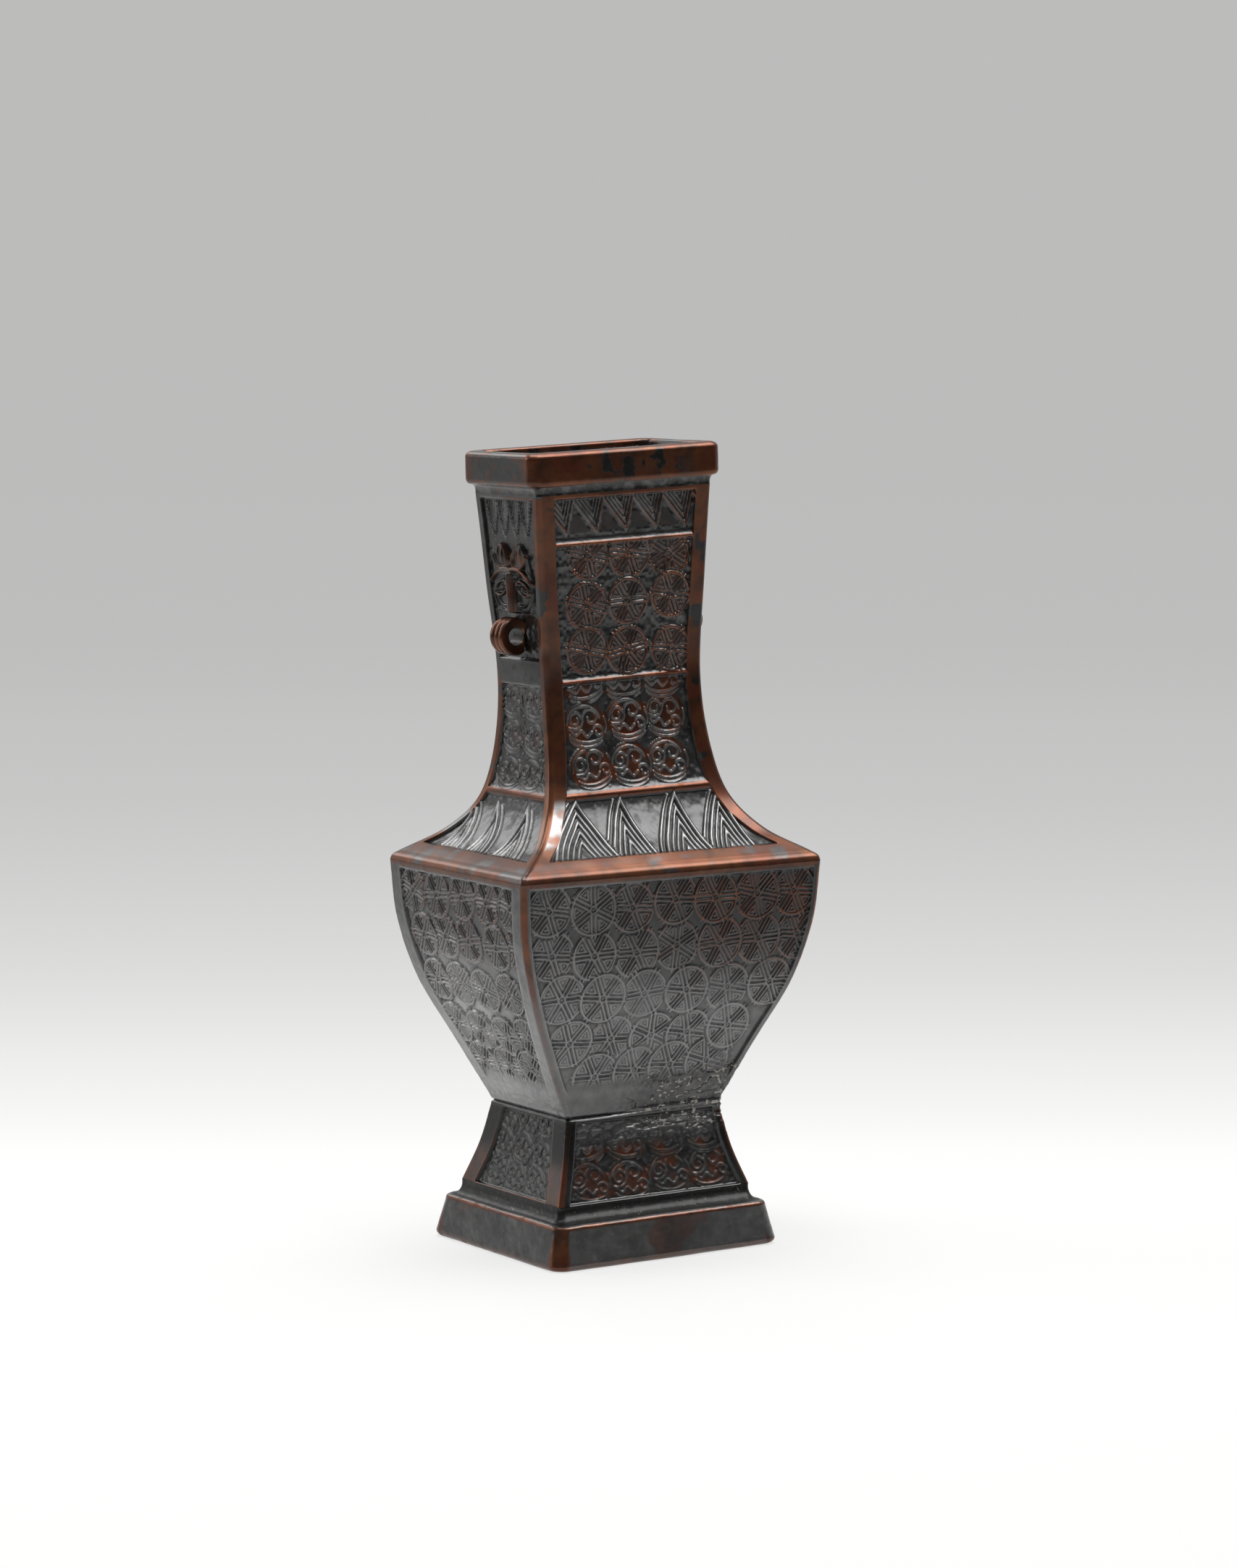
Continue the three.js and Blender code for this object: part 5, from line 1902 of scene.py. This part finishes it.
def floor_material(studio):
    """Pale floor whose seen colour falls from white round the vase to grey far away. Part of it
    glows and part is lit, so that the vase's shadow stays. The bronze reflects it dark on the
    camera's side."""
    made = bpy.data.materials.new("pale_floor")
    tree, surface = fresh_tree(made, "ShaderNodeOutputMaterial")
    place = node(tree, "ShaderNodeTexCoord").outputs["Object"]
    depth = along(tree, place, AWAY)
    far = maths(tree, "LOGARITHM", maths(tree, "MAXIMUM", depth, 0.01), 10.0)
    colours = node(tree, "ShaderNodeValToRGB")
    plug(tree, colours.inputs[0], maths(tree, "MULTIPLY_ADD", far, 0.5, 0.6))
    elements = colours.color_ramp.elements
    while len(elements) < len(FLOOR_GREYS):
        elements.new(0.5)
    for element, (distance, value) in zip(elements, FLOOR_GREYS):
        element.position = 0.5 * math.log10(distance) + 0.6
        element.color = (value, value, value * 0.995, 1)
    length = node(tree, "ShaderNodeVectorMath", operation="LENGTH")
    plug(tree, length.inputs[0], place)
    near = ramp(tree, length.outputs["Value"], 0.55, 1.3, 1, 0)
    near = maths(tree, "MAXIMUM", near, ramp(tree, depth, 0.0, 0.3))
    camera_ray = node(tree, "ShaderNodeLightPath").outputs["Is Camera Ray"]
    near = maths(tree, "MAXIMUM", near, camera_ray)
    seen = blend_colour(tree, near, (0.05, 0.05, 0.05, 1), colours.outputs[0])
    lit_share = ramp(tree, depth, 0.1, 1.2, studio.floor_lit, 0)
    strength = maths(tree, "MULTIPLY_ADD", lit_share, -studio.floor_light, 1.0)
    glow = node(tree, "ShaderNodeEmission", Color=seen, Strength=strength)
    lit_colour = blend_colour(tree, lit_share, (0, 0, 0, 1), seen)
    lit = node(tree, "ShaderNodeBsdfDiffuse", Color=lit_colour)
    both = node(tree, "ShaderNodeAddShader")
    plug(tree, both.inputs[0], glow.outputs[0])
    plug(tree, both.inputs[1], lit.outputs[0])
    plain = node(tree, "ShaderNodeBsdfDiffuse", Color=(0.8, 0.8, 0.8, 1))
    seen_by_ray(tree, plain, both, surface)
    return made


def floor_disc(studio):
    """Round floor. The radius of its rings grows by the same factor, so it is fine near the vase."""
    radii = np.geomspace(0.01, studio.floor_radius, FLOOR_RINGS)[:, None]
    angle = np.linspace(0, 2 * math.pi, FLOOR_SPOKES, endpoint=False)[None, :]
    rings = np.stack([radii * np.cos(angle), radii * np.sin(angle), 0 * radii * angle], axis=-1)
    points = np.vstack([rings.reshape(-1, 3), [[0, 0, 0]]])
    place = np.arange(FLOOR_RINGS * FLOOR_SPOKES).reshape(FLOOR_RINGS, FLOOR_SPOKES)
    onward = np.roll(place, -1, axis=1)
    quads = np.stack([place[:-1], place[1:], onward[1:], onward[:-1]], axis=-1).reshape(-1, 4)
    centre = np.full(FLOOR_SPOKES, len(points) - 1)
    middle = np.stack([centre, place[0], onward[0]], axis=-1)
    mesh = bpy.data.meshes.new("floor")
    mesh.from_pydata(points.tolist(), [], quads.tolist() + middle.tolist())
    mesh.materials.append(floor_material(studio))
    mesh.update()
    floor = bpy.data.objects.new("floor", mesh)
    bpy.context.scene.collection.objects.link(floor)


def soft_light(name, place, size, power):
    """A square soft light that faces the middle of the vase."""
    lamp = bpy.data.lights.new(name, "AREA")
    lamp.shape = "RECTANGLE"
    lamp.size = lamp.size_y = size
    lamp.energy = power
    made = bpy.data.objects.new(name, lamp)
    bpy.context.scene.collection.objects.link(made)
    made.location = place
    made.rotation_euler = look(np.array([0, 0, RIM_TOP / 2 * MM]) - place)


def look(direction):
    """Rotation that turns an object's -Z axis along a direction, with its Y axis up."""
    x, y, z = direction / np.linalg.norm(direction)
    pitch = math.acos(-z)
    yaw = math.atan2(y, x) - math.pi / 2
    return (pitch, 0, yaw)


def make_world(studio):
    """Surroundings: grey behind the vase like the far floor and brighter higher up, and white for
    the camera on its own side. The bronze also reflects a dark room on the camera's side and two
    bright soft boxes. As light on matt surfaces they are weaker and even."""
    world = bpy.data.worlds.new("studio")
    bpy.context.scene.world = world
    tree, surface = fresh_tree(world, "ShaderNodeOutputWorld")
    place = node(tree, "ShaderNodeTexCoord").outputs["Generated"]
    up = node(tree, "ShaderNodeSeparateXYZ", Vector=place).outputs["Z"]
    behind = along(tree, place, AWAY)
    higher = ramp(tree, up, 0.25, 0.6)
    backdrop = blend_colour(tree, higher, (0.503, 0.503, 0.5, 1), (0.62, 0.62, 0.62, 1))
    ceiling = ramp(tree, up, 0.12, 0.55, 0.03, 0.42)
    seen = blend_colour(tree, ramp(tree, behind, -0.35, 0.25), ceiling, backdrop)
    for direction, inner, outer, share in SOFT_BOXES:
        toward = along(tree, place, np.array(direction) / np.linalg.norm(direction))
        box = ramp(tree, toward, *np.cos(np.radians([outer, inner])))
        seen = blend_colour(tree, box, seen, (studio.box_light * share,) * 3 + (1,))
    pale = blend_colour(tree, ramp(tree, behind, -0.02, 0.12), (1, 1, 1, 1), backdrop)
    camera_ray = node(tree, "ShaderNodeLightPath").outputs["Is Camera Ray"]
    background = node(
        tree, "ShaderNodeBackground", Color=blend_colour(tree, camera_ray, seen, pale)
    )
    plain = node(tree, "ShaderNodeBackground", Color=(1, 1, 1, 1), Strength=studio.ambient)
    seen_by_ray(tree, plain, background, surface)


def make_camera(studio):
    """Camera about 1.03 m from the middle of the vase, 34 degrees to its left and 7 degrees up."""
    direction = np.array(AWAY) * math.cos(CAMERA_ELEVATION)
    direction[2] = -math.sin(CAMERA_ELEVATION)
    target = np.array([0, 0, RIM_TOP / 2])
    lens = bpy.data.cameras.new("camera")
    lens.sensor_width = 36
    lens.lens = studio.lens
    lens.shift_x, lens.shift_y = CAMERA_SHIFT
    lens.clip_start = 0.05
    lens.clip_end = 60
    camera = bpy.data.objects.new("camera", lens)
    bpy.context.scene.collection.objects.link(camera)
    camera.location = (target - CAMERA_DISTANCE * direction) * MM
    camera.rotation_euler = look(direction)
    bpy.context.scene.camera = camera


class VASE_OT_stage(bpy.types.Operator):
    """Makes the floor, the soft lights, the surroundings and the camera"""

    bl_idname = "vase.stage"
    bl_label = "Stage"

    def execute(self, context):
        studio = context.scene.vase_studio
        context.scene.view_settings.view_transform = "Standard"
        floor_disc(studio)
        make_world(studio)
        soft_light("top_light", (0.1, 0.1, 1.5), 1.2, studio.top_light)
        soft_light("left_light", (-1.2, 1.1, 0.7), 0.9, studio.side_light)
        make_camera(studio)
        return {"FINISHED"}


STEPS = ["stage", "mouth", "neck", "shoulder", "belly", "foot", "masks", "lugs", "floor_plate"]


class VASE_PT_panel(bpy.types.Panel):
    """Lists the steps that build the vase, with its sizes, colours and lights"""

    bl_label = "Bronze vase"
    bl_idname = "VASE_PT_panel"
    bl_space_type = "VIEW_3D"
    bl_region_type = "UI"
    bl_category = "Bronze vase"

    def draw(self, context):
        for step in STEPS:
            self.layout.operator(f"vase.{step}")
        scene = context.scene
        for group in (scene.vase_relief, scene.vase_patina, scene.vase_studio):
            box = self.layout.box()
            for name in type(group).__annotations__:
                box.prop(group, name)


CLASSES = [
    VaseRelief,
    VasePatina,
    VaseStudio,
    VASE_OT_mouth,
    VASE_OT_neck,
    VASE_OT_shoulder,
    VASE_OT_belly,
    VASE_OT_foot,
    VASE_OT_masks,
    VASE_OT_lugs,
    VASE_OT_floor_plate,
    VASE_OT_stage,
    VASE_PT_panel,
]


def register():
    """Registers the classes and hangs the settings on the scene."""
    for entry in CLASSES:
        bpy.utils.register_class(entry)
    bpy.types.Scene.vase_relief = bpy.props.PointerProperty(type=VaseRelief)
    bpy.types.Scene.vase_patina = bpy.props.PointerProperty(type=VasePatina)
    bpy.types.Scene.vase_studio = bpy.props.PointerProperty(type=VaseStudio)


def unregister():
    """Takes the settings and the classes away again."""
    del bpy.types.Scene.vase_relief
    del bpy.types.Scene.vase_patina
    del bpy.types.Scene.vase_studio
    for entry in reversed(CLASSES):
        bpy.utils.unregister_class(entry)


def main():
    """Builds everything in order."""
    register()
    for step in STEPS:
        getattr(bpy.ops.vase, step)()
    bpy.context.view_layer.update()


if __name__ == "__main__":
    main()
